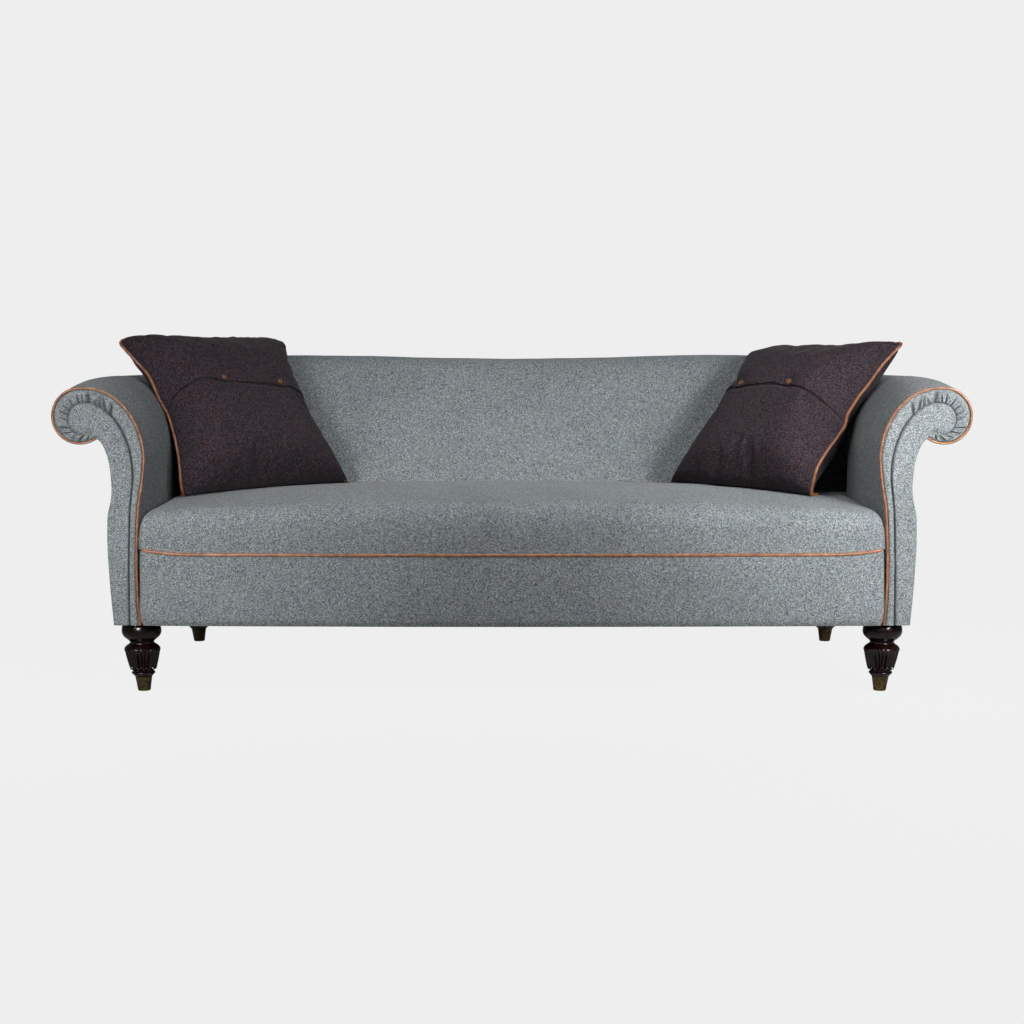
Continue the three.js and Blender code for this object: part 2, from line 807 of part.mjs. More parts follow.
function seatPiping() {
  const half = seatHalfWidth - seatCornerRadius / 2;
  const points = [];
  for (let i = -seatPipingSpans; i <= seatPipingSpans; i++) {
    const x = (half * i) / seatPipingSpans;
    points.push([x, seatFrontAt(x) + pipingRadius - borderPuff, pipingHeight]);
  }
  return tube(points, pipingRadius, seatPipingSteps, pipingSides);
}

// Back: side outline at one place along X, in [y, z], up the inside face, over the roll and
// down to the top of the outside back.
function backCurve(x, top) {
  const faceAt = (z) =>
    backFaceAtSeat + (z - backSeatHeight) * backSlopeShare - x * x / (2 * backBowRadius);
  const rear = rearPlane(rearPanelTop);
  const crown = mix(faceAt(rearPanelTop), rear, 0.5);
  const start = faceAt(backRollStart);
  const rise = (top - backRollStart) * backRollPullShare;
  const front = new THREE.CubicBezierCurve(
    new THREE.Vector2(start, backRollStart),
    new THREE.Vector2(start + rise * backSlopeShare, backRollStart + rise),
    new THREE.Vector2(mix(crown, start, backRollPullShare), top),
    new THREE.Vector2(crown, top),
  );
  const behind = new THREE.CubicBezierCurve(
    new THREE.Vector2(crown, top),
    new THREE.Vector2(mix(crown, rear, backRollPullShare), top),
    new THREE.Vector2(rear, mix(rearPanelTop, top, 0.5)),
    new THREE.Vector2(rear, rearPanelTop + coverSeat),
  );
  const points = [[faceAt(backLowerEnd), backLowerEnd]];
  points.push([faceAt(backSeatHeight), backSeatHeight]);
  for (const point of front.getPoints(backRollSteps)) points.push([point.x, point.y]);
  for (const point of behind.getPoints(backRollSteps).slice(1)) points.push([point.x, point.y]);
  points.push([rear, rearPanelTop + gap]);
  return points;
}

function backPlaces() {
  const half = backTopShares.map(([out, rise]) =>
    [out * backHalfWidth, rearPanelTop + rise * backRise]);
  return [...half.slice(1).reverse().map(([x, top]) => [-x, top]), ...half];
}

function insideBackCover() {
  const rings = backPlaces().map(([x, top]) =>
    layerRing(backCurve(x, top), coverThickness).map(([y, z]) => [x, y, z]));
  return loft(rings, 1, 2);
}

const webbingFaceAt = (z) => uprightFaceAt(z) - gap - webbingThickness;

function backPad() {
  const rings = backPlaces().map(([x, top]) => {
    const curve = shifted(backCurve(x, top), coverSeat + gap, false);
    const low = curve.at(-1)[1];
    const inner = [
      [topRailFace(low) - gap, low], [webbingFaceAt(uprightTop) - gap, uprightTop],
      [webbingFaceAt(backLowerEnd) - gap, backLowerEnd],
    ];
    return [...curve, ...inner].map(([y, z]) => [x, y, z]).reverse();
  });
  return loft(rings, 1, 2);
}

// The whole back, grown forwards, as a tool that cuts the seat and the cushions.
function backBlock(grow) {
  const rings = backPlaces().map(([x, top]) => {
    const face = shifted(backCurve(x, top), -grow, false);
    return [[face[0][0], bodyBottom], ...face, [face.at(-1)[0], bodyBottom]]
      .map(([y, z]) => [x, y, z]);
  });
  return loft(rings, 1, 2);
}

function backWebbing() {
  const outline = [
    [webbingFaceAt(uprightFoot), uprightFoot], [webbingFaceAt(uprightTop), uprightTop],
    [uprightFaceAt(uprightTop) - gap, uprightTop], [uprightFaceAt(uprightFoot) - gap, uprightFoot],
  ];
  return crossBoard(outline, -webbingHalfWidth, webbingHalfWidth);
}

// One cover closes the whole rear, scroll ends included.
function outsideBackCover() {
  const roll = armRoll(1, rearWaist);
  const first = roll.findIndex(([, z]) => z > rearPanelTop);
  const [below, above] = [roll[first - 1], roll[first]];
  const share = (rearPanelTop - below[1]) / (above[1] - below[1]);
  const start = [mix(below[0], above[0], share), rearPanelTop];
  const right = [start, ...roll.slice(first), ...armOuterEdge(1)];
  const outline = [...right, ...right.map(([u, z]) => [-u, z]).reverse()];
  return standingPlate(outline, (z) => rearPlane(z) - coverThickness, rearPlane);
}

// Arm upholstery

function insideArmCover() {
  const rear = (z) => rearPlane(z) - coverThickness - gap;
  const rings = armStations(coverFront, rear).map((station) =>
    layerRing(armRoll(station.growth, station.waist), coverThickness)
      .map(([u, z]) => [u, station.depthAt(z), z]));
  return loft(rings, 0, 2);
}

// Below this box the cover is pulled through between seat and arm.
function lowerArmTool() {
  const depth = rearFoot - scrollPostFront + overrun * 2;
  const height = coverLowerEnd - bodyBottom + overrun;
  const box = new THREE.BoxGeometry(scrollOverhang, depth, height);
  box.translate(waistOut, scrollPostFront - gap + depth / 2, coverLowerEnd - height / 2);
  return box;
}

function armPad() {
  const thickness = (share) => mix(armPadThickness, rollPadThickness, Math.min(share * 2, 1));
  const rings = armStations(scrollPostBack + gap, (z) => postFront(z) - gap)
    .slice(armPlanShares.findIndex(([, growth]) => growth > padGrowthShare))
    .map((station, i) => {
      const outer = shifted(armRoll(station.growth, station.waist), coverSeat + gap, false)
        .filter(([, z]) => z > coverLowerEnd);
      const thin = outer.filter((point, k) => k % 2 === 1 || k === 0 || k === outer.length - 1);
      const inner = shifted(thin, thickness, false).reverse();
      const depthAt = i === 0 ? () => scrollPostBack + gap : station.depthAt;
      return [...thin, ...inner].map(([u, z]) => [u, depthAt(z), z]);
    });
  return loft(rings, 0, 2);
}

function outsideArmCover() {
  const rear = (z) => rearPlane(z) - coverThickness - gap;
  const firstFull = armPlanShares.findIndex(([, growth]) => growth === 1);
  const last = armPlanShares.length - 1;
  const rings = armStations(scrollPostFront + gap, rear)
    .filter((station, i) => i <= firstFull && i % 2 === 0 || i === firstFull || i === last)
    .map(({ growth, depthAt }) => layerRing(armOuterEdge(growth), coverThickness)
      .map(([u, z]) => [u, depthAt(z), z]));
  return loft(rings, 0, 2);
}

// Seam between the pleated border and the centre panel, from the foot up the inside, over the
// knob and round to the notch. It has as many points as the roll, for its share of the way.
function seamPoints() {
  const seamWaist = waistOut + seamWaistLead;
  const knobOut = scrollCentreOut - knobLead;
  const points = seamLowerShares.map(([height, swell]) => [
    seamWaist + seamFootLead * swell, mix(bodyBottom, seamWaistHeight, height),
  ]);
  const rise = knobCentreHeight + knobRadius - seamWaistHeight;
  for (let i = 0; i <= crestSteps; i++) {
    const turn = (quarterTurn * i) / crestSteps;
    points.push([
      knobOut - (knobOut - seamWaist) * Math.cos(turn), seamWaistHeight + rise * Math.sin(turn),
    ]);
  }
  for (let i = 1; i <= rollSteps; i++) {
    const turn = mix(quarterTurn, notchTurn, i / rollSteps);
    points.push([knobOut + knobRadius * Math.cos(turn), knobCentreHeight + knobRadius * Math.sin(turn)]);
  }
  return points;
}

function scrollPanel() {
  const outline = [...shifted(seamPoints(), seamGroove / 2, false), ...armOuterEdge(0)];
  const edge = shifted(outline, gap, true);
  const face = shifted(outline, panelCrown * 2, true);
  const rings = [
    edge.map(([u, z]) => [u, scrollPostFront - gap, z]),
    edge.map(([u, z]) => [u, facingPlane + panelCrown, z]),
    shifted(outline, panelCrown, true).map(([u, z]) => [u, facingPlane, z]),
    face.map(([u, z]) => [u, facingPlane - panelCrown / 2, z]),
  ];
  return loft(rings, 0, 2);
}

// The gathered border: a padded strip whose face is folded into pleats round the scroll.
function scrollBorder() {
  const along = (points) => new THREE.CatmullRomCurve3(
    points.map(([u, z]) => new THREE.Vector3(u, z, 0)), false, "centripetal");
  const outer = along(shifted(facingRoll, borderInset, false));
  const inner = along(shifted(seamPoints(), -seamGroove / 2, false));
  const outerBreak = (ogeeShares.length + 1) / (facingRoll.length - 1);
  const innerBreak = (seamLowerShares.length + 1) / (seamPoints().length - 1);
  const rings = [];
  for (let i = 0; i <= borderLowerSteps + pleatSteps; i++) {
    const low = i <= borderLowerSteps;
    const share = low ? i / borderLowerSteps : (i - borderLowerSteps) / pleatSteps;
    const a = outer.getPoint(low ? outerBreak * share : mix(outerBreak, 1, share));
    const b = inner.getPoint(low ? innerBreak * share : mix(innerBreak, 1, share));
    const fold = (i - borderLowerSteps) % pleatShares.length;
    const pleat = low ? 0 : pleatDepth * pleatShares[fold];
    const acrossAt = (part, proud) => {
      const y = facingPlane - proud;
      return [mix(a.x, b.x, part), y, mix(a.y, b.y, part)];
    };
    rings.push([
      acrossAt(0, -(facingDepth - gap)), acrossAt(0, -borderPuff),
      ...borderCrownShares.map((part) => acrossAt(part, borderPuff - pleat)),
      acrossAt(1, -borderPuff), acrossAt(1, -(facingDepth - gap)),
    ]);
  }
  return loft(rings, 0, 1);
}

const armPiping = () =>
  tube(facingRoll.map(([u, z]) => [u, facingPlane, z]), pipingRadius, armPipingSteps, pipingSides);

function dustCover() {
  const side = armOuterEdge(0).at(-1)[0] - coverSeat;
  const front = scrollPostFront + gap;
  const back = rearInside(frameBottom) - gap;
  const outline = [
    [-side, front], [-waistOut, front], ...bowPlaces().map((x) => [x, frontRailFace(x)]),
    [waistOut, front], [side, front], [side, back], [-side, back],
  ];
  const shape = new THREE.Shape(outline.map(([x, y]) => new THREE.Vector2(x, y)));
  for (const x of [-legOut, legOut]) {
    for (const y of [-legPlace, legPlace]) {
      const holeRadius = (legPlateRadius + gap) / Math.cos(Math.PI / fluteCount);
      const hole = polygon(holeRadius, fluteCount).map((p) => p.add(new THREE.Vector2(x, y)));
      shape.holes.push(new THREE.Path(hole));
    }
  }
  const cover = new THREE.ExtrudeGeometry(shape, { depth: dustCoverThickness, bevelEnabled: false });
  cover.translate(0, 0, frameBottom - gap - dustCoverThickness);
  return cover;
}

// Scatter cushions, in their own frame: X along the width, Z up the face and Y through the
// thickness, with the front at negative Y.

const cellShares = [];
for (let i = 0; i <= cushionSteps; i++) {
  cellShares.push(Math.sin(quarterTurn * ((2 * i) / cushionSteps - 1)));
}
const cushionHalf = cushionSize / 2;
const bodyHalf = cushionHalf - cushionPipingRadius - cushionSeamSlack;

// Place on the drawn-in square at shares s and t of its half size.
function onCushion(half, s, t) {
  return [
    half * s * (1 - cushionDrawShare * (1 - t * t)),
    half * t * (1 - cushionDrawShare * (1 - s * s)),
  ];
}

const loftAt = (s, t) => (cushionThickness / 2) * Math.sqrt(Math.max((1 - s * s) * (1 - t * t), 0));

// Join a grid of front places and a grid of back places, which share their rims or are
// closed by a wall round them.
function twoFaced(front, back, rim) {
  const columns = front.length;
  const rows = front[0].length;
  const places = [...front.flat(), ...back.flat()];
  const faces = [];
  const at = (side, i, j) => side * columns * rows + i * rows + j;
  for (let i = 0; i < columns - 1; i++) {
    for (let j = 0; j < rows - 1; j++) {
      const corners = [[i, j], [i + 1, j], [i + 1, j + 1], [i, j + 1]];
      const [a, b, c, d] = corners.map(([p, q]) => at(0, p, q));
      const [e, f, g, h] = corners.map(([p, q]) => at(1, p, q));
      faces.push(a, b, c, a, c, d, e, g, f, e, h, g);
    }
  }
  if (rim) {
    const edge = [];
    for (let i = 0; i < columns - 1; i++) edge.push([i, 0]);
    for (let j = 0; j < rows - 1; j++) edge.push([columns - 1, j]);
    for (let i = columns - 1; i > 0; i--) edge.push([i, rows - 1]);
    for (let j = rows - 1; j > 0; j--) edge.push([0, j]);
    edge.forEach(([i, j], k) => {
      const [p, q] = edge[(k + 1) % edge.length];
      faces.push(at(0, i, j), at(1, i, j), at(0, p, q), at(0, p, q), at(1, i, j), at(1, p, q));
    });
  }
  const geometry = new THREE.BufferGeometry();
  geometry.setAttribute("position", new THREE.Float32BufferAttribute(places.flat(), 3));
  geometry.setIndex(faces);
  return facingOut(welded(geometry));
}

function cushionBody() {
  const face = (side) => cellShares.map((s) => cellShares.map((t) => {
    const [x, z] = onCushion(bodyHalf, s, t);
    return [x, side * loftAt(s, t), z];
  }));
  return twoFaced(face(-1), face(1), false);
}

// The flap's free edge is level, and turns down in a curve to the outer side seam.
function flapEdgeAt(s, outer) {
  const near = Math.max((s * outer - flapTurnShare) / (1 - flapTurnShare), 0);
  return flapEdgeShare - flapCornerShare * near * near;
}

// A place on the faceted face of the body, on the line of one column of its grid.
function bodyFaceAt(s, t) {
  const upper = cellShares.findIndex((share, i) => i > 0 && share >= t);
  const [low, high] = [cellShares[upper - 1], cellShares[upper]];
  const part = (t - low) / (high - low);
  const [ax, az] = onCushion(bodyHalf, s, low);
  const [bx, bz] = onCushion(bodyHalf, s, high);
  return [mix(ax, bx, part), -mix(loftAt(s, low), loftAt(s, high), part), mix(az, bz, part)];
}

function cushionFlap(outer) {
  const above = cellShares.filter((t) => t > flapEdgeShare);
  const face = (lift) => cellShares.map((s) => [flapEdgeAt(s, outer), ...above].map((t) => {
    const [x, y, z] = bodyFaceAt(s, t);
    return [x, y - lift, z];
  }));
  return twoFaced(face(gap + flapThickness), face(gap), true);
}

// The piping runs round the seam, and its two ends meet in the middle of the lower edge. It is
// also made a little thicker, as a tool that cuts the flap.
function cushionPiping(grow) {
  const sideShares = [-0.975, -0.85, -0.5, 0, 0.5, 0.85, 0.975];
  const points = [];
  const push = (s, t) => {
    const [x, z] = onCushion(cushionHalf, s, t);
    points.push([x, 0, z]);
  };
  for (const share of sideShares.filter((value) => value > 0)) push(share, -1);
  for (const share of sideShares) push(1, share);
  for (const share of sideShares) push(-share, 1);
  for (const share of sideShares) push(-1, -share);
  for (const share of sideShares.filter((value) => value < 0)) push(share, -1);
  const [, low] = onCushion(cushionHalf, 0, -1);
  points.unshift([gap / 2, 0, low]);
  points.push([-gap / 2, 0, low]);
  return tube(points, cushionPipingRadius + grow, cushionPipingSteps, pipingSides);
}

// A covered button on the flap, turned to lie on the face.
function cushionButton(s, outer) {
  const t = flapEdgeShare + buttonRiseShare;
  const place = new THREE.Vector3(...bodyFaceAt(s * -outer, t));
  const beside = new THREE.Vector3(...bodyFaceAt(s * -outer + buttonRiseShare, t));
  const above = new THREE.Vector3(...bodyFaceAt(s * -outer, t + buttonRiseShare));
  const normal = beside.sub(place).cross(above.sub(place)).normalize();
  const profile = buttonProfileShares.map(([radius, height]) =>
    new THREE.Vector2(buttonRadius * radius, buttonHeight * height));
  const button = new THREE.LatheGeometry(profile, buttonSides);
  const turn = new THREE.Quaternion().setFromUnitVectors(new THREE.Vector3(0, 1, 0), normal);
  button.applyQuaternion(turn);
  const seat = place.addScaledVector(normal, gap * 2 + flapThickness);
  button.translate(seat.x, seat.y, seat.z);
  return button;
}

function cushionMatrix(side, outer) {
  const [inset, out, rise] = cushionPlaceShares[side].map((share) => share * cushionSize);
  const [turn, lean, roll] = cushionAngles[side].map(THREE.MathUtils.degToRad);
  return new THREE.Matrix4()
    .makeTranslation(outer * (waistOut - inset), backFaceAtSeat - out, seatCrest + rise)
    .multiply(new THREE.Matrix4().makeRotationZ(turn))
    .multiply(new THREE.Matrix4().makeRotationX(lean))
    .multiply(new THREE.Matrix4().makeRotationY(roll));
}

// Build the frame
add("front_rail", trimmed(frontRail(), [asSolid(armBlock(gap)), asSolid(mirrored(armBlock(gap)))]), beech);
add("back_rail", backRail(), beech);
add("spring_rail", springRail(), beech);
add("seat_brace", seatBrace(), beech);
addPair("side_rail", sideRail(), beech);
addPair("scroll_post", scrollPost(), beech);
addPair("back_post", backPost(), beech);
addPair("arm_rail", armRail(), beech);
add("back_top_rail", topRail(0), beech);
addPair("back_upright", backUpright(), beech);
addPair("front_corner_block", cornerBlock(true), beech);
addPair("rear_corner_block", cornerBlock(false), beech);

// Legs and ferrules
for (const [end, place] of [["front", -legPlace], ["rear", legPlace]]) {
  addPair(`${end}_leg`, leg(place), mahogany);
  addPair(`${end}_ferrule`, ferrule(place), agedBrass);
}

// Seat, back and arms
const armTools = [asSolid(armBlock(gap)), asSolid(mirrored(armBlock(gap)))];
const backTool = asSolid(backBlock(gap));
const topRailTool = asSolid(topRail(gap));
add("seat_spring_unit", springUnit(), springSteel);
add("seat_hessian", hessian(), jute);
const padTools = [asSolid(armBlock(padEndGap)), asSolid(mirrored(armBlock(padEndGap)))];
add("seat_pad", trimmed(seatPad(), [...padTools, backTool]), wadding);
add("seat_cover", trimmed(seatCover(), [...armTools, backTool]), tweed);
add("front_border", trimmed(frontBorder(), armTools), tweed);
add("seat_piping", seatPiping(), tanLeather);
add("back_webbing", backWebbing(), jute);
add("back_pad", trimmed(backPad(), [...armTools, topRailTool]), wadding);
add("inside_back_cover", trimmed(insideBackCover(), armTools), tweed);
add("outside_back_cover", outsideBackCover(), tweed);
addPair("arm_pad", trimmed(armPad(), [topRailTool]), wadding);
addPair("inside_arm_cover", trimmed(insideArmCover(), [asSolid(lowerArmTool()), topRailTool]), tweed);
addPair("outside_arm_cover", outsideArmCover(), tweed);
addPair("scroll_panel", scrollPanel(), tweed);
addPair("scroll_border", scrollBorder(), tweed);
addPair("arm_piping", armPiping(), tanLeather);
add("dust_cover", dustCover(), blackCloth);

// Scatter cushions, flattened where they rest on the seat, an arm and the back
const restTools = [...armTools, backTool, asSolid(seatBlock(gap))];
for (const [side, outer] of [["left", -1], ["right", 1]]) {
  const matrix = cushionMatrix(side, outer);
  const placed = (geometry) => geometry.applyMatrix4(matrix);
  add(`${side}_cushion`, trimmed(placed(cushionBody()), restTools), darkTweed);
  add(`${side}_cushion_piping`, trimmed(placed(cushionPiping(0)), restTools), tanLeather);
  const flapTools = [...restTools, asSolid(placed(cushionPiping(gap)))];
  add(`${side}_cushion_flap`, trimmed(placed(cushionFlap(outer)), flapTools), darkTweed);
  buttonPlaceShares.forEach((share, i) => {
    const name = `${side}_cushion_${i === 0 ? "outer" : "inner"}_button`;
    add(name, placed(cushionButton(share, outer)), buttonLeather);
  });
}

export default sofa;
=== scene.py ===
# %% [markdown]
# The sofa is dressed over a frame that is already built and measured. Loading that frame first
# gives each piece of upholstery its exact place, so nothing has to be fitted by eye.

# %% Load the frame
import math
import random

import bpy
import numpy as np
from mathutils import Matrix, Vector, noise
from mathutils.bvhtree import BVHTree


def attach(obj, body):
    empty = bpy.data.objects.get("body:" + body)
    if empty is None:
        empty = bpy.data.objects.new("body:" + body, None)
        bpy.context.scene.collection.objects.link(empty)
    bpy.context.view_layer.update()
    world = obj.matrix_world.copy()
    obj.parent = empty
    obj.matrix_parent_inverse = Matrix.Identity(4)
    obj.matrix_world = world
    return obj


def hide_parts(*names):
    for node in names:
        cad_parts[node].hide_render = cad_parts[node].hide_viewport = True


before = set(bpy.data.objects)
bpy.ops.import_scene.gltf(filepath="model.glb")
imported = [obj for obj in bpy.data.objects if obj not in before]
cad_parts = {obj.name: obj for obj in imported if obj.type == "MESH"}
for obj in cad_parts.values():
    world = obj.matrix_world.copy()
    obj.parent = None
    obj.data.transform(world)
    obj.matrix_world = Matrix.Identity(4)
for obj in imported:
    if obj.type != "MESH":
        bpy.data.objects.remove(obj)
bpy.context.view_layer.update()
bpy.ops.object.select_all(action="DESELECT")

# %% [markdown]
# The photograph was taken from far in front of the sofa, with the camera level and a little
# below the top of the back. The picture is then cut so that the sofa sits in its middle, which
# is what the vertical shift does: it keeps every upright edge of the sofa upright.

# %% Camera
camera_distance = 4.821
camera_height = 0.798
focal_length = 64.4
sensor_width = 36.0
horizon_shift = -0.1484

bpy.ops.object.camera_add(location=(0, -camera_distance, camera_height),
                          rotation=(math.radians(90), 0, 0))
camera = bpy.context.object
camera.data.lens = focal_length
camera.data.sensor_width = sensor_width
camera.data.shift_y = horizon_shift
bpy.context.scene.camera = camera
print("camera", tuple(round(v, 3) for v in camera.location))

# %% [markdown]
# The studio has a pale ground and no walls. The camera sees the background and the floor in the
# same light grey, while every other ray finds only a faint sky and a matt floor that still takes
# the sofa's shadow. One soft lamp stands at each end, three narrower ones reach in from the
# front, and a broad one above and one behind show the form without hard edges.

# %% Floor, background and lamps
backdrop_grey, floor_grey, chalk_grey = (0.855,) * 3, (0.888,) * 3, (0.5,) * 3
sky_tint, sky_strength = (0.86, 0.93, 1), 0.1
floor_glow_share = 0.96
floor_size = 60


class Nodes:
    """The nodes of a material or a world, with a short way to add one and join its inputs."""

    def __init__(self, owner):
        owner.use_nodes = True
        self.nodes, self.links = owner.node_tree.nodes, owner.node_tree.links

    def join(self, source, socket):
        if isinstance(source, bpy.types.Node):
            source = source.outputs[0]
        if isinstance(source, bpy.types.NodeSocket):
            self.links.new(source, socket)
        elif socket.type == "RGBA":
            socket.default_value = (*source, 1)
        else:
            socket.default_value = source

    def add(self, kind, inputs=None, **settings):
        made = self.nodes.new("ShaderNode" + kind)
        for name, value in settings.items():
            setattr(made, name, value)
        for socket, source in (inputs or {}).items():
            self.join(source, made.inputs[socket])
        return made


def two_faced(owner, hidden_kind, hidden, shown_kind, shown_colour, share, output_kind):
    """One shader for the light's rays, and another that only the camera sees."""
    studio = Nodes(owner)
    studio.nodes.clear()
    camera_ray = studio.add("LightPath").outputs["Is Camera Ray"]
    seen = studio.add("Math", {0: camera_ray, 1: share}, operation="MULTIPLY")
    both = studio.add("MixShader", {0: seen, 1: studio.add(hidden_kind, hidden),
                                    2: studio.add(shown_kind, {"Color": shown_colour})})
    studio.add(output_kind, {"Surface": both})


scene = bpy.context.scene
scene.view_settings.view_transform = "Standard"
scene.world = bpy.data.worlds.new("studio")
two_faced(scene.world, "Background", {"Color": sky_tint, "Strength": sky_strength},
          "Background", backdrop_grey, 1.0, "OutputWorld")

bpy.ops.mesh.primitive_plane_add(size=floor_size)
floor = bpy.context.object
floor.name = "studio_floor"
floor_finish = bpy.data.materials.new("studio_floor")
two_faced(floor_finish, "BsdfDiffuse", {"Color": chalk_grey}, "Emission", floor_grey,
          floor_glow_share, "OutputMaterial")
floor.data.materials.append(floor_finish)

lamps = [("lamp_right_end", (1.7, -1.5, 1.0), (0.8, -0.3, 0.4), (0.5, 0.6), 14.5, 180),
         ("lamp_left_end", (-1.7, -1.5, 1.0), (-0.8, -0.3, 0.4), (0.5, 0.6), 5.4, 180),
         ("lamp_right_arm", (-0.2, -3.0, 1.5), (0.98, -0.2, 0.6), (0.4, 0.4), 0.9, 28),
         ("lamp_right_front", (1.7, -2.4, 1.3), (0.85, -0.2, 0.45), (0.5, 0.5), 5.4, 45),
         ("lamp_left_front", (-1.2, -2.4, 1.0), (-0.88, -0.3, 0.4), (0.5, 0.5), 3.8, 50),
         ("lamp_above", (0.0, -1.2, 2.4), (0, -0.05, 0.5), (1.2, 0.4), 5.2, 60),
         ("lamp_behind", (0.0, 4.2, 2.6), (0, 0, 0.45), (3.4, 1.4), 20, 180)]
for name, place, aim, size, power, spread in lamps:
    bpy.ops.object.light_add(type="AREA", location=place)
    lamp = bpy.context.object
    lamp.name = name
    lamp.data.shape = "RECTANGLE"
    lamp.data.size, lamp.data.size_y = size
    lamp.data.energy = power
    lamp.data.spread = math.radians(spread)
    lamp.rotation_euler = (Vector(aim) - Vector(place)).to_track_quat("-Z", "Y").to_euler()

# %% [markdown]
# Cloth needs one habit more than wood does: its weave has to follow the surface. So each piece
# of cloth or leather starts as a flat grid, is laid over its form point by point, and keeps
# its flat layout, in metres, as its own map. The weave is then drawn on that map and runs true
# round every curve, as it would on cloth cut from the roll.

# %% A grid that is laid over a form
cloth_map = "cloth"


def select_only(*pieces):
    """Select these pieces and make the last of them active."""
    bpy.ops.object.select_all(action="DESELECT")
    for piece in pieces:
        piece.select_set(True)
        bpy.context.view_layer.objects.active = piece


def new_cloth_map(mesh):
    layer = mesh.uv_layers.active or mesh.uv_layers.new()
    layer.name = cloth_map
    return layer.data


def laid_grid(name, across, along, place, painted_fold_shade=None):
    """A grid whose point at shares u and v goes to place(u, v), with painted shade in its folds as dark as
    the last function gives.
    """
    select_only()
    bpy.ops.mesh.primitive_grid_add(x_subdivisions=across, y_subdivisions=along, size=1,
                                    enter_editmode=False)
    piece = bpy.context.object
    piece.name = name
    mesh = piece.data
    shares = [(v.co.x + 0.5, v.co.y + 0.5) for v in mesh.vertices]
    for vertex, (u, v) in zip(mesh.vertices, shares):
        vertex.co = place(u, v)
    # Painted shade: each point's share of darkening towards the tweed's shade colour, kept as an attribute.
    if painted_fold_shade:
        painted_shade_layer = mesh.attributes.new("painted_fold_shade", "FLOAT", "POINT")
        painted_shade_layer.data.foreach_set("value", [painted_fold_shade(u, v) for u, v in shares])
    place_at = np.array([v.co for v in mesh.vertices]).reshape(along + 1, across + 1, 3)
    mean_u = np.linalg.norm(np.diff(place_at, axis=1), axis=2).sum(axis=1).mean()
    mean_v = np.linalg.norm(np.diff(place_at, axis=0), axis=2).sum(axis=0).mean()
    flat = new_cloth_map(mesh)
    for loop in mesh.loops:
        u, v = shares[loop.vertex_index]
        flat[loop.index].uv = (u * mean_u, v * mean_v)
    return piece


def mapped_straight(piece, view=Matrix()):
    """Lay a piece's cloth map straight on X and Z, as seen through a view."""
    flat = new_cloth_map(piece.data)
    for loop in piece.data.loops:
        place = view @ piece.data.vertices[loop.vertex_index].co
        flat[loop.index].uv = (place.x, place.z)


def apply_all(piece):
    select_only(piece)
    for modifier in list(piece.modifiers):
        bpy.ops.object.modifier_apply(modifier=modifier.name)


def tidy_mesh(piece, merge=0.00001):
    """Merge doubles, close open ends and turn the faces outwards."""
    select_only(piece)
    bpy.ops.object.mode_set(mode="EDIT")
    bpy.ops.mesh.select_all(action="SELECT")
    bpy.ops.mesh.remove_doubles(threshold=merge)
    bpy.ops.mesh.fill_holes(sides=0)
    bpy.ops.mesh.select_all(action="SELECT")
    bpy.ops.mesh.normals_make_consistent(inside=False)
    bpy.ops.object.mode_set(mode="OBJECT")


def smooth_shaded(piece, angle):
    select_only(piece)
    bpy.ops.object.shade_smooth_by_angle(angle=math.radians(angle))


def thickened(piece, thickness, inside, angle):
    """Give a laid cloth its thickness, on the side of a point that is inside the form."""
    mesh = piece.data
    middle = Vector(inside)
    outwards = sum(face.area * face.normal.dot(face.center - middle) for face in mesh.polygons)
    if outwards < 0:
        mesh.flip_normals()
    solidify = piece.modifiers.new("thickness", "SOLIDIFY")
    solidify.thickness, solidify.offset = thickness, -1
    solidify.use_even_offset = False
    apply_all(piece)
    tidy_mesh(piece)
    smooth_shaded(piece, angle)


def dressed(piece, finish, body, node):
    """Hand a piece to the frame: its finish, the body it rides, and the node it stands for."""
    piece.data.materials.clear()
    piece.data.materials.append(finish)
    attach(piece, body)
    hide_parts(node)


def own_copy(piece, name):
    copy = piece.copy()
    copy.data = piece.data.copy()
    copy.name = name
    scene.collection.objects.link(copy)
    return copy


def both_sides(right, finish, node):
    """Dress a piece of the right arm and its mirror image on the left."""
    left = own_copy(right, right.name.replace("right", "left"))
    for vertex in left.data.vertices:
        vertex.co.x = -vertex.co.x
    left.data.flip_normals()
    for piece, side in ((right, "right"), (left, "left")):
        dressed(piece, finish, "sofa", f"{side}_{node}")
    return right, left


def report(label, piece, *more):
    faces = sum(len(p.vertices) - 2 for p in piece.data.polygons)
    print(label, faces, "triangles", [round(v, 3) for v in piece.dimensions], *more)


print("cloth map", cloth_map)
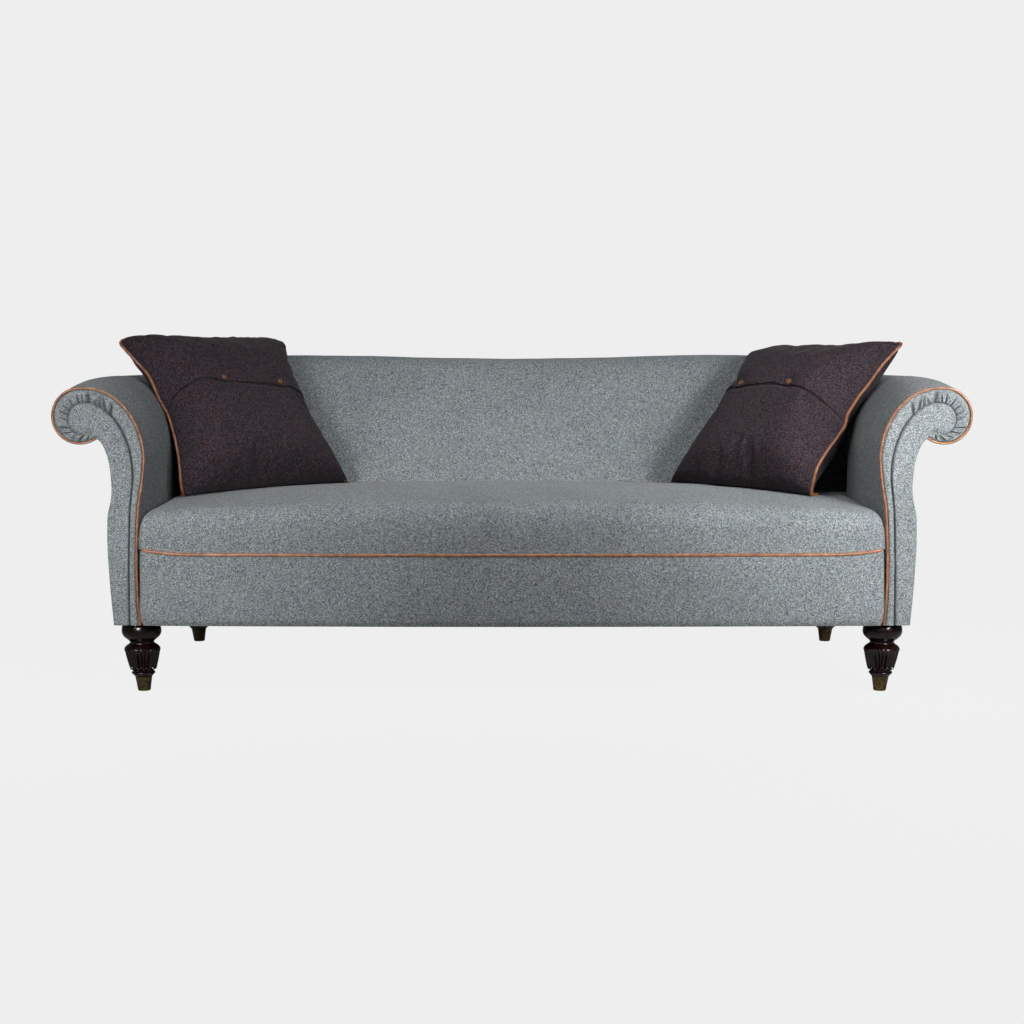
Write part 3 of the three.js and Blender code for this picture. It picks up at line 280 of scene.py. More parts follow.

# %% [markdown]
# The sofa is covered in a wool tweed, spun from fibres of many colours: from afar it is a soft
# grey-blue, and close to it is made of pale, dark, blue and tan flecks. A flat colour can't do
# that. Here a fine cell pattern gives each yarn its own colour, a slower noise groups them
# into cloudy patches, and a diagonal twill on the cloth map gives the weave its relief.
# The dark colour also serves as painted shade: where a piece carries a painted shade share,
# in pleats and seams, its colour is darkened towards it.

# %% Tweed
class Finish(Nodes):
    """A material, with the nodes that most of this sofa's finishes need."""

    def __init__(self, name):
        self.material = bpy.data.materials.new(name)
        super().__init__(self.material)
        self.shader = self.nodes["Principled BSDF"]
        self.where = self.add("TexCoord").outputs["Object"]

    def noise(self, vector, scale, detail, roughness):
        return self.add("TexNoise", {"Vector": vector, "Scale": scale, "Detail": detail,
                                     "Roughness": roughness}).outputs["Fac"]

    def ramp(self, source, stops):
        made = self.add("ValToRGB", {0: source})
        elements = made.color_ramp.elements
        while len(elements) < len(stops):
            elements.new(0.5)
        for element, (position, colour) in zip(elements, stops):
            element.position = position
            element.color = (*colour, 1)
        return made

    def grey_ramp(self, source, *stops):
        return self.ramp(source, [(position, (grey,) * 3) for position, grey in stops])

    def mixed(self, share, first, second, blend="MIX"):
        return self.add("Mix", {0: share, 6: first, 7: second}, data_type="RGBA",
                        blend_type=blend).outputs[2]

    def maths(self, operation, *values):
        return self.add("Math", dict(enumerate(values)), operation=operation)

    def weighted(self, *pairs):
        """The sum of outputs, each times its weight."""
        total = 0.0
        for source, weight in pairs:
            total = self.maths("MULTIPLY_ADD", source, weight, total)
        return total

    def finished(self, height, strength, distance, **looks):
        """Lay the fine relief on the surface, and join what gives its looks."""
        looks["Normal"] = self.add("Bump", {"Height": height, "Strength": strength,
                                            "Distance": distance})
        for name, source in looks.items():
            self.join(source, self.shader.inputs[name.replace("_", " ")])
        return self.material


yarn_scale, strand_scale, hair_scale, cloud_scale = 620, (130, 620, 1), 900, 7


def tweed(name, yarns, twill_dark_and_painted_shade, fleck, fleck_share, sheen=0.06, twill_pitch=0.0026):
    finish = Finish(name)
    cloth = finish.add("UVMap", uv_map=cloth_map)
    cells = finish.add("TexVoronoi", {"Vector": finish.where, "Scale": yarn_scale})
    single = finish.add("SeparateColor", {0: cells.outputs["Color"]})
    strands = finish.add("Mapping", {"Vector": cloth, "Scale": strand_scale})
    pick = finish.weighted((single, 0.8), (finish.noise(strands, 1.0, 2.0, 0.6), 0.5))
    yarn = finish.ramp(finish.maths("SUBTRACT", pick, 0.15), yarns)
    slow = finish.grey_ramp(finish.noise(finish.where, cloud_scale, 2.0, 0.5), (0.3, 0.93), (0.7, 1.06))
    ground = finish.mixed(1.0, yarn, slow, "MULTIPLY")
    flecks = finish.maths("GREATER_THAN", single.outputs[1], 1 - fleck_share)
    coloured = finish.mixed(flecks, ground, fleck)

    twill = finish.add("TexWave", {"Vector": cloth, "Scale": math.pi / 10 / twill_pitch, "Distortion": 1.2,
                                   "Detail": 2, "Detail Scale": 2}, bands_direction="DIAGONAL").outputs["Fac"]
    furrow = finish.maths("MULTIPLY", finish.maths("SUBTRACT", 1.0, twill), 0.22)
    # Painted shade: the piece's fold shade share darkens the colour towards the shade colour in pleats and
    # seams.
    fold_shade_share = finish.add("Attribute", attribute_name="painted_fold_shade").outputs["Fac"]
    base = finish.mixed(fold_shade_share, finish.mixed(furrow, coloured, twill_dark_and_painted_shade), twill_dark_and_painted_shade)
    hair = finish.noise(finish.where, hair_scale, 2.0, 0.6)
    relief = finish.weighted((twill, 0.6), (hair, 0.5), (cells.outputs["Distance"], 0.5))
    return finish.finished(relief, 0.3, 0.0005, Base_Color=base, Roughness=0.93, Specular_IOR_Level=0.18,
                           Sheen_Weight=sheen, Sheen_Roughness=0.5)


sofa_tweed = tweed("grey_blue_tweed",
                   [(0.14, (0.045, 0.052, 0.064)), (0.3, (0.085, 0.117, 0.148)),
                    (0.42, (0.17, 0.155, 0.145)), (0.54, (0.137, 0.184, 0.21)),
                    (0.7, (0.235, 0.268, 0.25)), (0.9, (0.36, 0.365, 0.37))],
                   (0.032, 0.038, 0.046), (0.225, 0.155, 0.12), 0.05)
cushion_tweed = tweed("plum_brown_tweed",
                      [(0.14, (0.0022, 0.0022, 0.0045)), (0.3, (0.007, 0.0085, 0.019)),
                       (0.44, (0.024, 0.0105, 0.0105)), (0.58, (0.0165, 0.017, 0.029)),
                       (0.74, (0.042, 0.026, 0.029)), (0.92, (0.075, 0.068, 0.078))],
                      (0.003, 0.0026, 0.004), (0.085, 0.032, 0.018), 0.07, 0.03)
print("tweeds", sofa_tweed.name, cushion_tweed.name)

# %% [markdown]
# Piping and buttons are tan leather. Leather is smoother than cloth, but never even: it is
# darker in its folds, paler where it is stretched over the cord inside, and has a fine grain of
# small cells. A cell pattern gives the grain, and a slow noise the uneven dye.

# %% Leather
def leather(name, dark, middle, pale, roughness):
    finish = Finish(name)
    dye = finish.noise(finish.where, 60, 4.0, 0.6)
    tone = finish.ramp(dye, [(0.28, dark), (0.5, middle), (0.74, pale)])
    grain = finish.add("TexVoronoi", {"Vector": finish.where, "Scale": 1100},
                       feature="DISTANCE_TO_EDGE").outputs["Distance"]
    crease = finish.grey_ramp(grain, (0.0, 0.6), (0.12, 1))
    wear = finish.grey_ramp(dye, (0.3, roughness + 0.1), (0.7, roughness - 0.06))
    return finish.finished(grain, 0.3, 0.0003, Base_Color=finish.mixed(1.0, tone, crease, "MULTIPLY"),
                           Roughness=wear)


piping_leather = leather("tan_leather", (0.125, 0.045, 0.019), (0.245, 0.096, 0.042),
                         (0.37, 0.175, 0.09), 0.34)
button_leather = leather("brown_leather", (0.06, 0.025, 0.012), (0.12, 0.05, 0.022),
                         (0.22, 0.1, 0.045), 0.33)
print("leathers", piping_leather.name, button_leather.name)

# %% [markdown]
# The rolled arm is the form that names this kind of sofa. Its section climbs from the seat in
# a slight S, swells into a scroll and curls under to a notch. Behind the facing the roll is a
# little fuller than the facing itself, and near the back the arm's inner face turns outwards
# to meet the back. One function gives the section at any depth, and the seat, the back and
# the cushions all ask it where the arm is.

# %% Section of the arm
half_width = 1.1
body_bottom = 0.165
facing_plane = -0.45
rear_foot = 0.44123
rear_lean = 0.074
piping_radius = 0.003
clearance = 0.0003
scroll_radius = 0.066
scroll_height = 0.665
scroll_overhang = 0.1525
crest_lead = 0.01
waist_height = 0.555
ogee_swell = 0.0175
outer_reach = 0.041
roll_growth, roll_rise, roll_shift = 0.01, 0.016, 0.006
arm_turn = 0.0365
notch_turn = math.radians(-125)
quarter_turn = math.pi / 2
scroll_out = half_width - piping_radius - scroll_radius
waist_out = scroll_out - scroll_overhang
rear_waist = waist_out + arm_turn
cover_front = facing_plane + piping_radius + clearance
arm_run = rear_foot - cover_front
cloth_thickness = 0.0025

ogee_shares = [(0, 0.46), (0.16, 0.83), (0.4, 1), (0.69, 0.83), (0.86, 0.31), (1, 0)]
outer_shares = [(1, 1), (0.974, 0.72), (0.93, 0.48), (0.887, 0.32), (0.808, 0.18), (0.71, 0.122),
                (0.655, 0.18), (0.564, 0.372), (0.456, 0.389), (0.271, 0.268), (0, 0)]
arm_plan_shares = [(0, 0.04, 0), (0.01, 0.12, -0.05), (0.03, 0.25, -0.09), (0.08, 0.5, -0.15),
                   (0.2, 0.85, -0.26), (0.4, 1, -0.12), (0.5, 1, 0.26), (0.57, 1, 0.76),
                   (0.63, 1, 1), (1, 1, 1)]


def mix(a, b, t):
    return a + (b - a) * t


def clamp(value, low=0.0, high=1.0):
    return max(low, min(high, value))


def smooth_rows(xs, ys):
    """A smooth curve through rows of values that doesn't overshoot them."""
    xs, ys = np.array(xs, float), np.array(ys, float)
    step, rise = np.diff(xs), np.diff(ys)
    slope = rise / step
    tangent = np.zeros(len(xs))
    tangent[0], tangent[-1] = slope[0], slope[-1]
    for i in range(1, len(xs) - 1):
        if slope[i - 1] * slope[i] > 0:
            tangent[i] = 2 * slope[i - 1] * slope[i] / (slope[i - 1] + slope[i])

    def value(x):
        i = int(clamp(np.searchsorted(xs, x) - 1, 0, len(step) - 1))
        t = clamp((x - xs[i]) / step[i])
        h = step[i]
        return ((2 * t ** 3 - 3 * t ** 2 + 1) * ys[i] + (t ** 3 - 2 * t ** 2 + t) * h * tangent[i]
                + (3 * t ** 2 - 2 * t ** 3) * ys[i + 1] + (t ** 3 - t ** 2) * h * tangent[i + 1])
    return value


ogee = smooth_rows(*zip(*ogee_shares))
outer_edge = smooth_rows(*zip(*sorted(outer_shares)))
plan_depths, plan_growths, plan_turns = zip(*arm_plan_shares)
plan_growth = smooth_rows(plan_depths, plan_growths)
plan_turn = smooth_rows(plan_depths, plan_turns)


def rear_plane(z):
    return rear_foot + (z - body_bottom) * rear_lean


def evened(points, steps):
    """The same line, with its points at equal distances."""
    points = np.array(points, float)
    run = np.concatenate([[0], np.cumsum(np.linalg.norm(np.diff(points, axis=0), axis=1))])
    goal = np.linspace(0, run[-1], steps + 1)
    return np.stack([np.interp(goal, run, points[:, k]) for k in range(points.shape[1])], axis=1)


def moved_right(points, distance):
    """Each point of an open line, moved to the line's right-hand side."""
    points = np.array(points, float)
    along = np.gradient(points, axis=0)
    along /= np.linalg.norm(along, axis=1)[:, None]
    distance = np.broadcast_to(distance, len(points))
    return points + np.stack([along[:, 1], -along[:, 0]], axis=1) * distance[:, None]


def scroll_line(waist, swell, waist_z, crest, centre, radius, low=body_bottom, fine=30):
    """A line up the inside of the arm, over its crest and round to the notch, as (out, up)."""
    foot = [(waist + swell((z - body_bottom) / (waist_z - body_bottom)), z)
            for z in np.linspace(low, waist_z, fine)]
    rise = centre[1] + radius - waist_z
    shoulder = [(crest - (crest - waist) * math.cos(turn), waist_z + rise * math.sin(turn))
                for turn in np.linspace(0, quarter_turn, fine)[1:]]
    roll = [(centre[0] + radius * math.cos(turn), centre[1] + radius * math.sin(turn))
            for turn in np.linspace(quarter_turn, notch_turn, fine * 2)[1:]]
    return foot, shoulder, roll


def scroll_at(growth):
    """Centre and radius of the roll."""
    return ((scroll_out - roll_shift * growth, scroll_height + roll_rise * growth),
            scroll_radius + roll_growth * growth)


def arm_line(growth, waist, low=body_bottom, fine=24):
    centre, radius = scroll_at(growth)
    return scroll_line(waist, lambda share: ogee_swell * (1 - growth) * ogee(share), waist_height,
                       centre[0] - crest_lead * (1 - growth), centre, radius, low, fine)


def arm_outer(growth, fine=40):
    """The arm's outer edge as (out, up), from the notch down to its foot."""
    (centre_u, centre_z), radius = scroll_at(growth)
    notch_u = centre_u + radius * math.cos(notch_turn)
    notch_z = centre_z + radius * math.sin(notch_turn)
    foot_u = scroll_out + scroll_radius * math.cos(notch_turn) - outer_reach
    return [(foot_u + (notch_u - foot_u) * outer_edge(share), mix(body_bottom, notch_z, share))
            for share in np.linspace(1, 0, fine)]


def arm_at(y):
    run = clamp((y - cover_front) / arm_run)
    return plan_growth(run), waist_out + arm_turn * plan_turn(run)


def arm_face(y, z):
    """How far out the arm's inner face is, at a depth and a height."""
    growth, waist = arm_at(y)
    if z <= waist_height:
        share = clamp((z - body_bottom) / (waist_height - body_bottom))
        return waist + ogee_swell * (1 - growth) * ogee(share)
    (centre_u, centre_z), radius = scroll_at(growth)
    crest_u = centre_u - crest_lead * (1 - growth)
    turn = math.asin(clamp((z - waist_height) / (centre_z + radius - waist_height)))
    return crest_u - (crest_u - waist) * math.cos(turn)


def flexed(point, amount, scale, seed):
    """A slow rise and fall of cloth over its padding."""
    return amount * noise.noise(Vector(point) * scale + Vector((seed, seed * 0.37, -seed)))


def closer_at_ends(u, power):
    """A share from -1 to 1 whose steps are closer at both ends."""
    share = 2 * u - 1
    return math.copysign(1 - (1 - abs(share)) ** power, share)


def cubic(a, b, c, d, fine):
    """Points of a curve from a to d that is drawn towards b and c, without its first point."""
    a, b, c, d = (np.array(point) for point in (a, b, c, d))
    return [tuple((1 - t) ** 3 * a + 3 * (1 - t) ** 2 * t * b + 3 * (1 - t) * t * t * c + t ** 3 * d)
            for t in np.linspace(0, 1, fine)[1:]]


def table_point(places, table, x, row):
    """A row's point between two sections of a table, at a distance from the sofa's middle."""
    k = int(clamp(np.searchsorted(places, abs(x)) - 1, 0, len(places) - 2))
    t = clamp((abs(x) - places[k]) / (places[k + 1] - places[k]))
    return table[k][row] * (1 - t) + table[k + 1][row] * t


def drawn_in(share, half, point_at, limit_at):
    """A section's point at a share of the width that the arms leave it, and that width."""
    x = share * half
    for _ in range(3):
        x = share * limit_at(*point_at(x))
    y, z = point_at(x)
    return x, y, z, limit_at(y, z)


print("arm waist", round(waist_out, 4), "to", round(rear_waist, 4))

# %% [markdown]
# One length of cloth goes up the inside of the arm, over the roll and under it to the notch. It
# is pulled tight, so it has no folds of its own, only a soft unevenness where the wadding
# under it settles.

# %% Inside arm covers
cover_low = 0.3
cover_steps, cover_rows = 88, 96
arm_sections = {}


def arm_section(y):
    key = round(y, 5)
    if key not in arm_sections:
        growth, waist = arm_at(y)
        arm_sections[key] = evened(np.concatenate(arm_line(growth, waist, cover_low)), cover_steps)
    return arm_sections[key]


def to_rear(y, up, share):
    """A depth that reaches the sofa's rear plane at its last share."""
    return mix(y, rear_plane(up) - cloth_thickness - clearance, share ** 6)


def on_arm(u, v):
    y = mix(cover_front, rear_foot, v ** 1.7)
    out, up = arm_section(y)[int(round(u * cover_steps))]
    depth = to_rear(y, up, v) if v > 0.5 else y
    swell = flexed((out, depth, up), 0.0011, 9, 3.1) * clamp(v * 6) * clamp((1 - v) * 12)
    return Vector((out - swell, depth, up + swell * 0.5))


right_arm = laid_grid("right_inside_arm", cover_steps, cover_rows, on_arm)
thickened(right_arm, cloth_thickness, (1.0, 0, 0.5), 40)
both_sides(right_arm, sofa_tweed, "inside_arm_cover")
report("inside arm", right_arm)

# %% [markdown]
# The outside of the arm, under the roll, is one flat-cut piece of the tweed. It is stretched
# from the notch under the roll down to the bottom edge, in a slight hollow, and from the
# facing to the back. It carries no padding, so it stays a thin sheet.

# %% Outside arm covers
post_front = facing_plane + 0.01
flat_cut_thickness = 0.0022
side_steps = 40


def flat_cut(piece):
    """Size and area of a laid cloth before it gets its thickness."""
    coords = np.array([loop.uv[:] for loop in piece.data.uv_layers[cloth_map].data])
    width, length = coords.max(axis=0) - coords.min(axis=0)
    area = sum(face.area for face in piece.data.polygons)
    return float(width), float(length), float(area)


def on_outside_arm(u, v):
    y = mix(post_front + 0.0005, rear_foot, v ** 1.4)
    out, up = evened(arm_outer(arm_at(y)[0]), side_steps)[int(round(u * side_steps))]
    hollow = 0.002 * math.sin(math.pi * u) * math.sin(math.pi * v)
    return Vector((out - hollow, to_rear(y, up, v), up))


right_side = laid_grid("right_outside_arm", side_steps, 50, on_outside_arm)
side_cut = flat_cut(right_side)
thickened(right_side, flat_cut_thickness, (0.9, 0, 0.4), 40)
for piece in both_sides(right_side, sofa_tweed, "outside_arm_cover"):
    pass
report("outside arm", right_side, "cut", [round(v, 3) for v in side_cut])

# %% [markdown]
# The scroll facing closes the front of the arm. Its border is a strip that is gathered round
# the scroll into soft pleats, because its inner edge is much shorter than its outer one. First
# come its two edges, each evened with the same number of steps in each of its three parts.

# %% Line of the facing and its seam
border_inset = 0.003
seam_waist_lead, seam_waist_height, seam_foot_lead = 0.0265, 0.513, 0.009
knob_radius, knob_height, knob_lead = 0.039, 0.657, 0.01
knob_out = scroll_out - knob_lead
seam_swell = smooth_rows([0, 0.4, 0.76, 1], [0.8, 1, 0.8, 0])
border_low_steps, border_high_steps, border_roll_steps = 40, 110, 250
facing_steps = border_low_steps + border_high_steps + border_roll_steps


def matched(parts):
    low, high, roll = parts
    return np.concatenate([evened(low, border_low_steps),
                           evened([low[-1], *high], border_high_steps)[1:],
                           evened([high[-1], *roll], border_roll_steps)[1:]])


facing_edge = arm_line(0, waist_out, fine=30)
seam_line = scroll_line(waist_out + seam_waist_lead, lambda share: seam_foot_lead * seam_swell(share),
                        seam_waist_height, knob_out, (knob_out, knob_height), knob_radius)
edge_rows = moved_right(matched(facing_edge), border_inset)
seam_rows = matched(seam_line)
print("facing rows", len(edge_rows), len(seam_rows))

# %% [markdown]
# The pleats run from the notch under the roll, round the outer side and over the top to where
# the border comes down to the seat. Their places, lengths and depths are listed as they were
# counted, and a seeded draw gives each its slant and its width. Each is a fold line that the
# cloth dips into, deepest at the inner seam. Between two fold lines the cloth swells up again.
# Down in each pleat and along the inner seam the tweed is also darkened with painted shade.

# %% Pleated border
pleat_seed = random.Random(11)
step_share = 1 / facing_steps
pleat_start = (border_low_steps + border_high_steps * 0.55) * step_share
pleat_opening = 0.3
facing_grid, facing_thickness, facing_inside = (facing_steps, 24), 0.003, (1.0, 0, 0.5)
pleat_rows = [("high", 0.70, 0.85, 0.008), ("high", 0.77, 0.8, 0.0076), ("high", 0.83, 0.8, 0.0074),
              ("high", 0.885, 0.6, 0.006), ("high", 0.95, 0.9, 0.0078), ("roll", 0.03, 0.7, 0.0055),
              ("roll", 0.09, 0.7, 0.0062), ("roll", 0.18, 0.7, 0.0064), ("roll", 0.27, 0.65, 0.006),
              ("roll", 0.35, 0.7, 0.0058), ("roll", 0.44, 0.7, 0.006), ("roll", 0.56, 0.95, 0.0098),
              ("roll", 0.65, 0.9, 0.0094), ("roll", 0.74, 0.8, 0.007), ("roll", 0.83, 0.95, 0.0098),
              ("roll", 0.92, 0.9, 0.0094)]
part_runs = {"high": (border_low_steps, border_high_steps),
             "roll": (border_low_steps + border_high_steps, border_roll_steps)}
pleats = []
for part, share, reach, depth in pleat_rows:
    before, run = part_runs[part]
    pleats.append(((before + run * share) * step_share, reach, depth,
                   pleat_seed.uniform(-7, 7) * step_share, pleat_seed.uniform(1.4, 2.2) * step_share))


def pleats_at(u, v):
    """Each pleat's depth at a point, and how many of its widths the point lies beside it."""
    for at, reach, depth, slant, width in pleats:
        yield depth, clamp((v - (1 - reach)) / pleat_opening), (u - at - slant * (1 - v)) / width


def border_face(u, v):
    """How far the border stands before the facing plane. v goes from the piping to the seam."""
    crown = 0.0045 * math.sin(math.pi * clamp(0.06 + v * 0.9)) ** 0.6
    dip, lift = 0.0, 0.0
    for depth, length, away in pleats_at(u, v):
        dip = max(dip, depth * length * math.exp(-away * away))
        if away > 0:
            lift = max(lift, 0.0022 * length * math.exp(-((away - 2.2) / 1.8) ** 2))
    knob = clamp((u - pleat_start) * facing_steps / 30)
    seam_dip = mix(0.007, 0.0035, knob) * math.exp(-((1 - v) / mix(0.1, 0.07, knob)) ** 2)
    rim_dip = 0.004 * math.exp(-(v / 0.07) ** 2)
    return crown + lift - dip - seam_dip - rim_dip


def border_painted_shade(u, v):
    """Painted shade: how dark a point of the border is painted, down in a pleat or in the seam."""
    dark = max(88 * depth * length * math.exp(-(away / 0.8) ** 2)
               for depth, length, away in pleats_at(u, v))
    knob = clamp((u - pleat_start) * facing_steps / 30)
    return clamp(max(dark, mix(0.85, 0.2, knob) * math.exp(-((1 - v) / 0.06) ** 2)), 0, 0.9)


def on_border(u, v):
    k = int(round(u * facing_steps))
    out, up = mix(edge_rows[k], seam_rows[k], v)
    return Vector((out, facing_plane - border_face(u, v), up))


right_border = laid_grid("right_pleated_border", *facing_grid, on_border, border_painted_shade)
thickened(right_border, facing_thickness, facing_inside, 60)
both_sides(right_border, sofa_tweed, "scroll_border")
report("border", right_border, "pleats", len(pleats))

# %% [markdown]
# Inside the border lies a flat padded panel, cut to the shape of the arm. It is laid as rows
# that run from the seam to the arm's outer edge. Round the knob of the scroll the rows bend
# through its middle, so that they never cross.

# %% Centre panel
panel_split = border_high_steps // 2
outer_foot_up = evened(list(reversed(arm_outer(0))), 200)[:199]
panel_low = evened(outer_foot_up[:-8], border_low_steps + panel_split)
panel_high = evened(outer_foot_up[-9:], panel_split)[1:]
closing = evened([outer_foot_up[-1], seam_rows[-1]],
                 border_roll_steps + border_high_steps - panel_split - len(panel_high))[1:]
panel_rows = np.concatenate([panel_low, panel_high, closing])[:len(seam_rows)]
knob_middle = np.array([knob_out - 0.004, knob_height - 0.006])


def past_shoulder(k, share, run):
    """How far a row has passed a share of the facing's shoulder, as a share of a run of rows."""
    return clamp((k - border_low_steps - border_high_steps * share) / run)


def curved_row(start, middle, end, bend, hub, t):
    """A point of a row from start to end that is bent towards a hub."""
    middle = middle * (1 - bend) + hub * bend
    return (1 - t) ** 2 * start + 2 * t * (1 - t) * middle + t * t * end


def on_panel(u, v):
    k = int(round(u * facing_steps))
    start, end = seam_rows[k], panel_rows[k]
    bend = past_shoulder(k, 0.3, border_high_steps * 0.7)
    out, up = curved_row(start, (start + end) / 2, end, bend, knob_middle, v)
    near = min(v, 1 - v) * (np.linalg.norm(start - end) + 1e-6)
    groove = mix(0.0065, 0.003, past_shoulder(k, 0.7, 30))
    crown = 0.0035 * (1 - math.exp(-(near / 0.006) ** 1.4)) - groove * math.exp(-(near / 0.0022) ** 2)
    wrapped = 0.0095 * clamp((v - 0.97) / 0.03)
    return Vector((out, facing_plane - crown + wrapped - flexed((out, 0, up), 0.0005, 14, 2.2), up))


# Painted shade along the panel's seam edge, strong low down and faint round the roll.
def panel_painted_shade(u, v):
    return mix(0.8, 0.12, past_shoulder(u * facing_steps, 0.7, 30)) * math.exp(-(v / 0.035) ** 2)


right_panel = laid_grid("right_facing_panel", *facing_grid, on_panel, panel_painted_shade)
thickened(right_panel, facing_thickness, facing_inside, 60)
both_sides(right_panel, sofa_tweed, "scroll_panel")
report("panel", right_panel)

# %% [markdown]
# The leather piping is a cord wrapped in a narrow strip of leather. It is a tube whose path is
# the edge of the facing. The wrapping is never perfectly even, so its radius wavers a little
# along its length.

# %% Arm piping
def piping_tube(name, path, radius):
    """A tube along a path of points, with a slightly uneven wrapping."""
    sides, waver = 12, 0.06
    points = [Vector(p) for p in path]
    steps = len(points) - 1
    frames, up = [], None
    for k, point in enumerate(points):
        along = (points[min(k + 1, steps)] - points[max(k - 1, 0)]).normalized()
        if up is None:
            up = along.orthogonal().normalized()
        up = (up - along * up.dot(along)).normalized()
        frames.append((point, up, along.cross(up)))

    def around(u, v):
        point, first, second = frames[int(round(v * steps))]
        turn = 2 * math.pi * u
        place = point * 55 + Vector((math.cos(turn), math.sin(turn), 0)) * 0.7
        thick = radius * (1 + waver * noise.noise(place))
        return point + (first * math.cos(turn) + second * math.sin(turn)) * thick

    piece = laid_grid(name, sides, steps, around)
    tidy_mesh(piece, 0.00002)
    smooth_shaded(piece, 60)
    return piece


foot, *upper_parts = facing_edge
piping_rows = evened(np.concatenate([evened(foot, 40), *upper_parts]), 300)
right_piping = piping_tube("right_arm_leather_piping",
                           [(x, facing_plane, z) for x, z in piping_rows], piping_radius)
both_sides(right_piping, piping_leather, "arm_piping")
report("arm piping", right_piping)

# %% [markdown]
# The seat is one wide pad, sprung and stuffed. It crowns in the middle, rolls over at the front
# in a bull nose down to the piping, and dips at its ends where it is pulled in against the
# arms. Seen from above its front is a shallow bow with rounded ends.

# %% Section of the seat
front_proud, front_bow = 0.012, 0.021
seat_half = waist_out + 0.01
seat_corner = 0.016
seat_crest, seat_side_fall, seat_run_fall = 0.48, 0.03, 0.016
seat_crest_place, seat_half_run, seat_rear = -0.105, 0.326, 0.245
nose_start, nose_height, piping_height = 0.085, 0.392, 0.335
seat_piping_radius, piping_bite = 0.0042, 0.0012
side_fall_power = 2.2
border_puff = 0.003
front_gap, side_gap = 0.0006, 0.0012


def piping_level(x):
    """The seat's piping climbs a little where it meets the arms."""
    climb = clamp((abs(x) / seat_half - 0.86) / 0.14)
    return piping_height + 0.012 * climb * climb


def front_limit(z):
    """How far out the seat and its border may go beside the facings, where the piping draws them in."""
    drawn = 0.006 * math.exp(-((z - piping_level(seat_half)) / 0.02) ** 2)
    return arm_face(cover_front, z) - piping_radius - front_gap - drawn


def seat_front(x):
    share = x / (seat_half - front_proud)
    past = clamp(abs(x) - (seat_half - seat_corner), 0, seat_corner)
    corner = seat_corner - math.sqrt(seat_corner ** 2 - past ** 2)
    return facing_plane - front_proud - front_bow * (1 - share * share) + corner


def seat_top(x, y):
    """Height of the seat under a point."""
    crest = seat_crest - seat_side_fall * min(abs(x) / seat_half, 1) ** side_fall_power
    return crest - seat_run_fall * ((y - seat_crest_place) / seat_half_run) ** 2


def seat_section(x, steps):
    front = seat_front(x)
    nose_back = front + nose_start
    top = seat_top(x, nose_back)
    lower_edge = piping_level(x) + seat_piping_radius - piping_bite
    points = [(y, seat_top(x, y)) for y in np.linspace(seat_rear, nose_back, 30)]
    points += cubic((nose_back, top), (mix(nose_back, front, 0.6), top),
                    (front, mix(nose_height, top, 0.75)), (front, nose_height), 30)
    points += [(front + 0.0008 * t * t, mix(nose_height, lower_edge, t)) for t in np.linspace(0, 1, 8)[1:]]
    return evened(points, steps)


seat_rows = 84
seat_places = np.concatenate([np.linspace(0, seat_half - 0.02, 40), np.linspace(seat_half - 0.019, 0.91, 16)])
seat_table = np.stack([seat_section(x, seat_rows) for x in seat_places])


def seat_limit(y, z):
    """How far out the seat may go at a depth and a height."""
    return front_limit(z) if y < cover_front else arm_face(y, z) - side_gap


print("seat table", seat_table.shape)

# %% [markdown]
# The seat cover is laid from the rear over the crown and round the nose. Each of its points
# asks the arm how far out it may go. Its ends are rounded down, so that a dark crease shows
# between the seat and the arm, as it does on the real sofa.

# %% Seat cover
end_round = 0.03
end_power = 1.25


def on_seat(u, v):
    row = int(round(v * seat_rows))
    x, y, z, limit = drawn_in(closer_at_ends(u, end_power), seat_half,
                              lambda x: table_point(seat_places, seat_table, x, row), seat_limit)
    close = clamp((abs(x) - limit + end_round) / end_round)
    z -= 0.016 * close ** 3 * clamp((z - piping_height) / 0.06)
    soft = clamp((limit - abs(x)) / 0.08) * clamp((1 - v) * 8)
    swell = flexed((x, y, z), 0.0018, 4.2, 1.7) + flexed((x, y, z), 0.0007, 17, 5.1)
    if y < facing_plane + 0.03:
        y += swell * 0.7 * soft
    return Vector((x, y, z + swell * soft))


seat = laid_grid("seat_upholstery", 200, seat_rows, on_seat)
thickened(seat, cloth_thickness, (0, 0, 0.2), 50)
dressed(seat, sofa_tweed, "sofa", "seat_cover")
report("seat", seat)

# %% [markdown]
# Below the nose runs a second length of piping, and below that the front border: a lightly
# padded strip that covers the front rail and turns under at its bottom edge.

# %% Seat piping and front border
piping_half = seat_half - seat_corner * 0.4 - 0.003
seat_piping_path = [(x, seat_front(x) + piping_radius - border_puff, piping_level(x))
                    for x in np.linspace(-piping_half, piping_half, 260)]
seat_piping = piping_tube("seat_leather_piping", seat_piping_path, seat_piping_radius)
dressed(seat_piping, piping_leather, "sofa", "seat_piping")


def on_front_border(u, v):
    share = closer_at_ends(u, end_power)
    border_top = piping_level(share * seat_half) - seat_piping_radius + piping_bite
    z = mix(body_bottom, border_top, v)
    x = share * min(seat_half, front_limit(z) - 0.004 * math.exp(-(v / 0.08) ** 2))
    puff = border_puff * math.sin(math.pi * clamp(0.04 + v * 0.92)) ** 0.5
    tuck = 0.006 * math.exp(-(v / 0.035) ** 2)
    return Vector((x, seat_front(x) - puff + tuck + flexed((x, 0, z), 0.0008, 9, 4.4), z))


front_border = laid_grid("front_border_cloth", 200, 26, on_front_border)
thickened(front_border, cloth_thickness, (0, 0.2, 0.25), 50)
dressed(front_border, sofa_tweed, "sofa", "front_border")
report("front border", front_border)

# %% [markdown]
# The back is upholstered in one piece too. Its inside face leans back, bows forward slightly
# towards the arms, and rolls over the top rail to the outside back. Its top line rises gently
# from the middle and falls away at the ends, where it meets the arms' rolls.

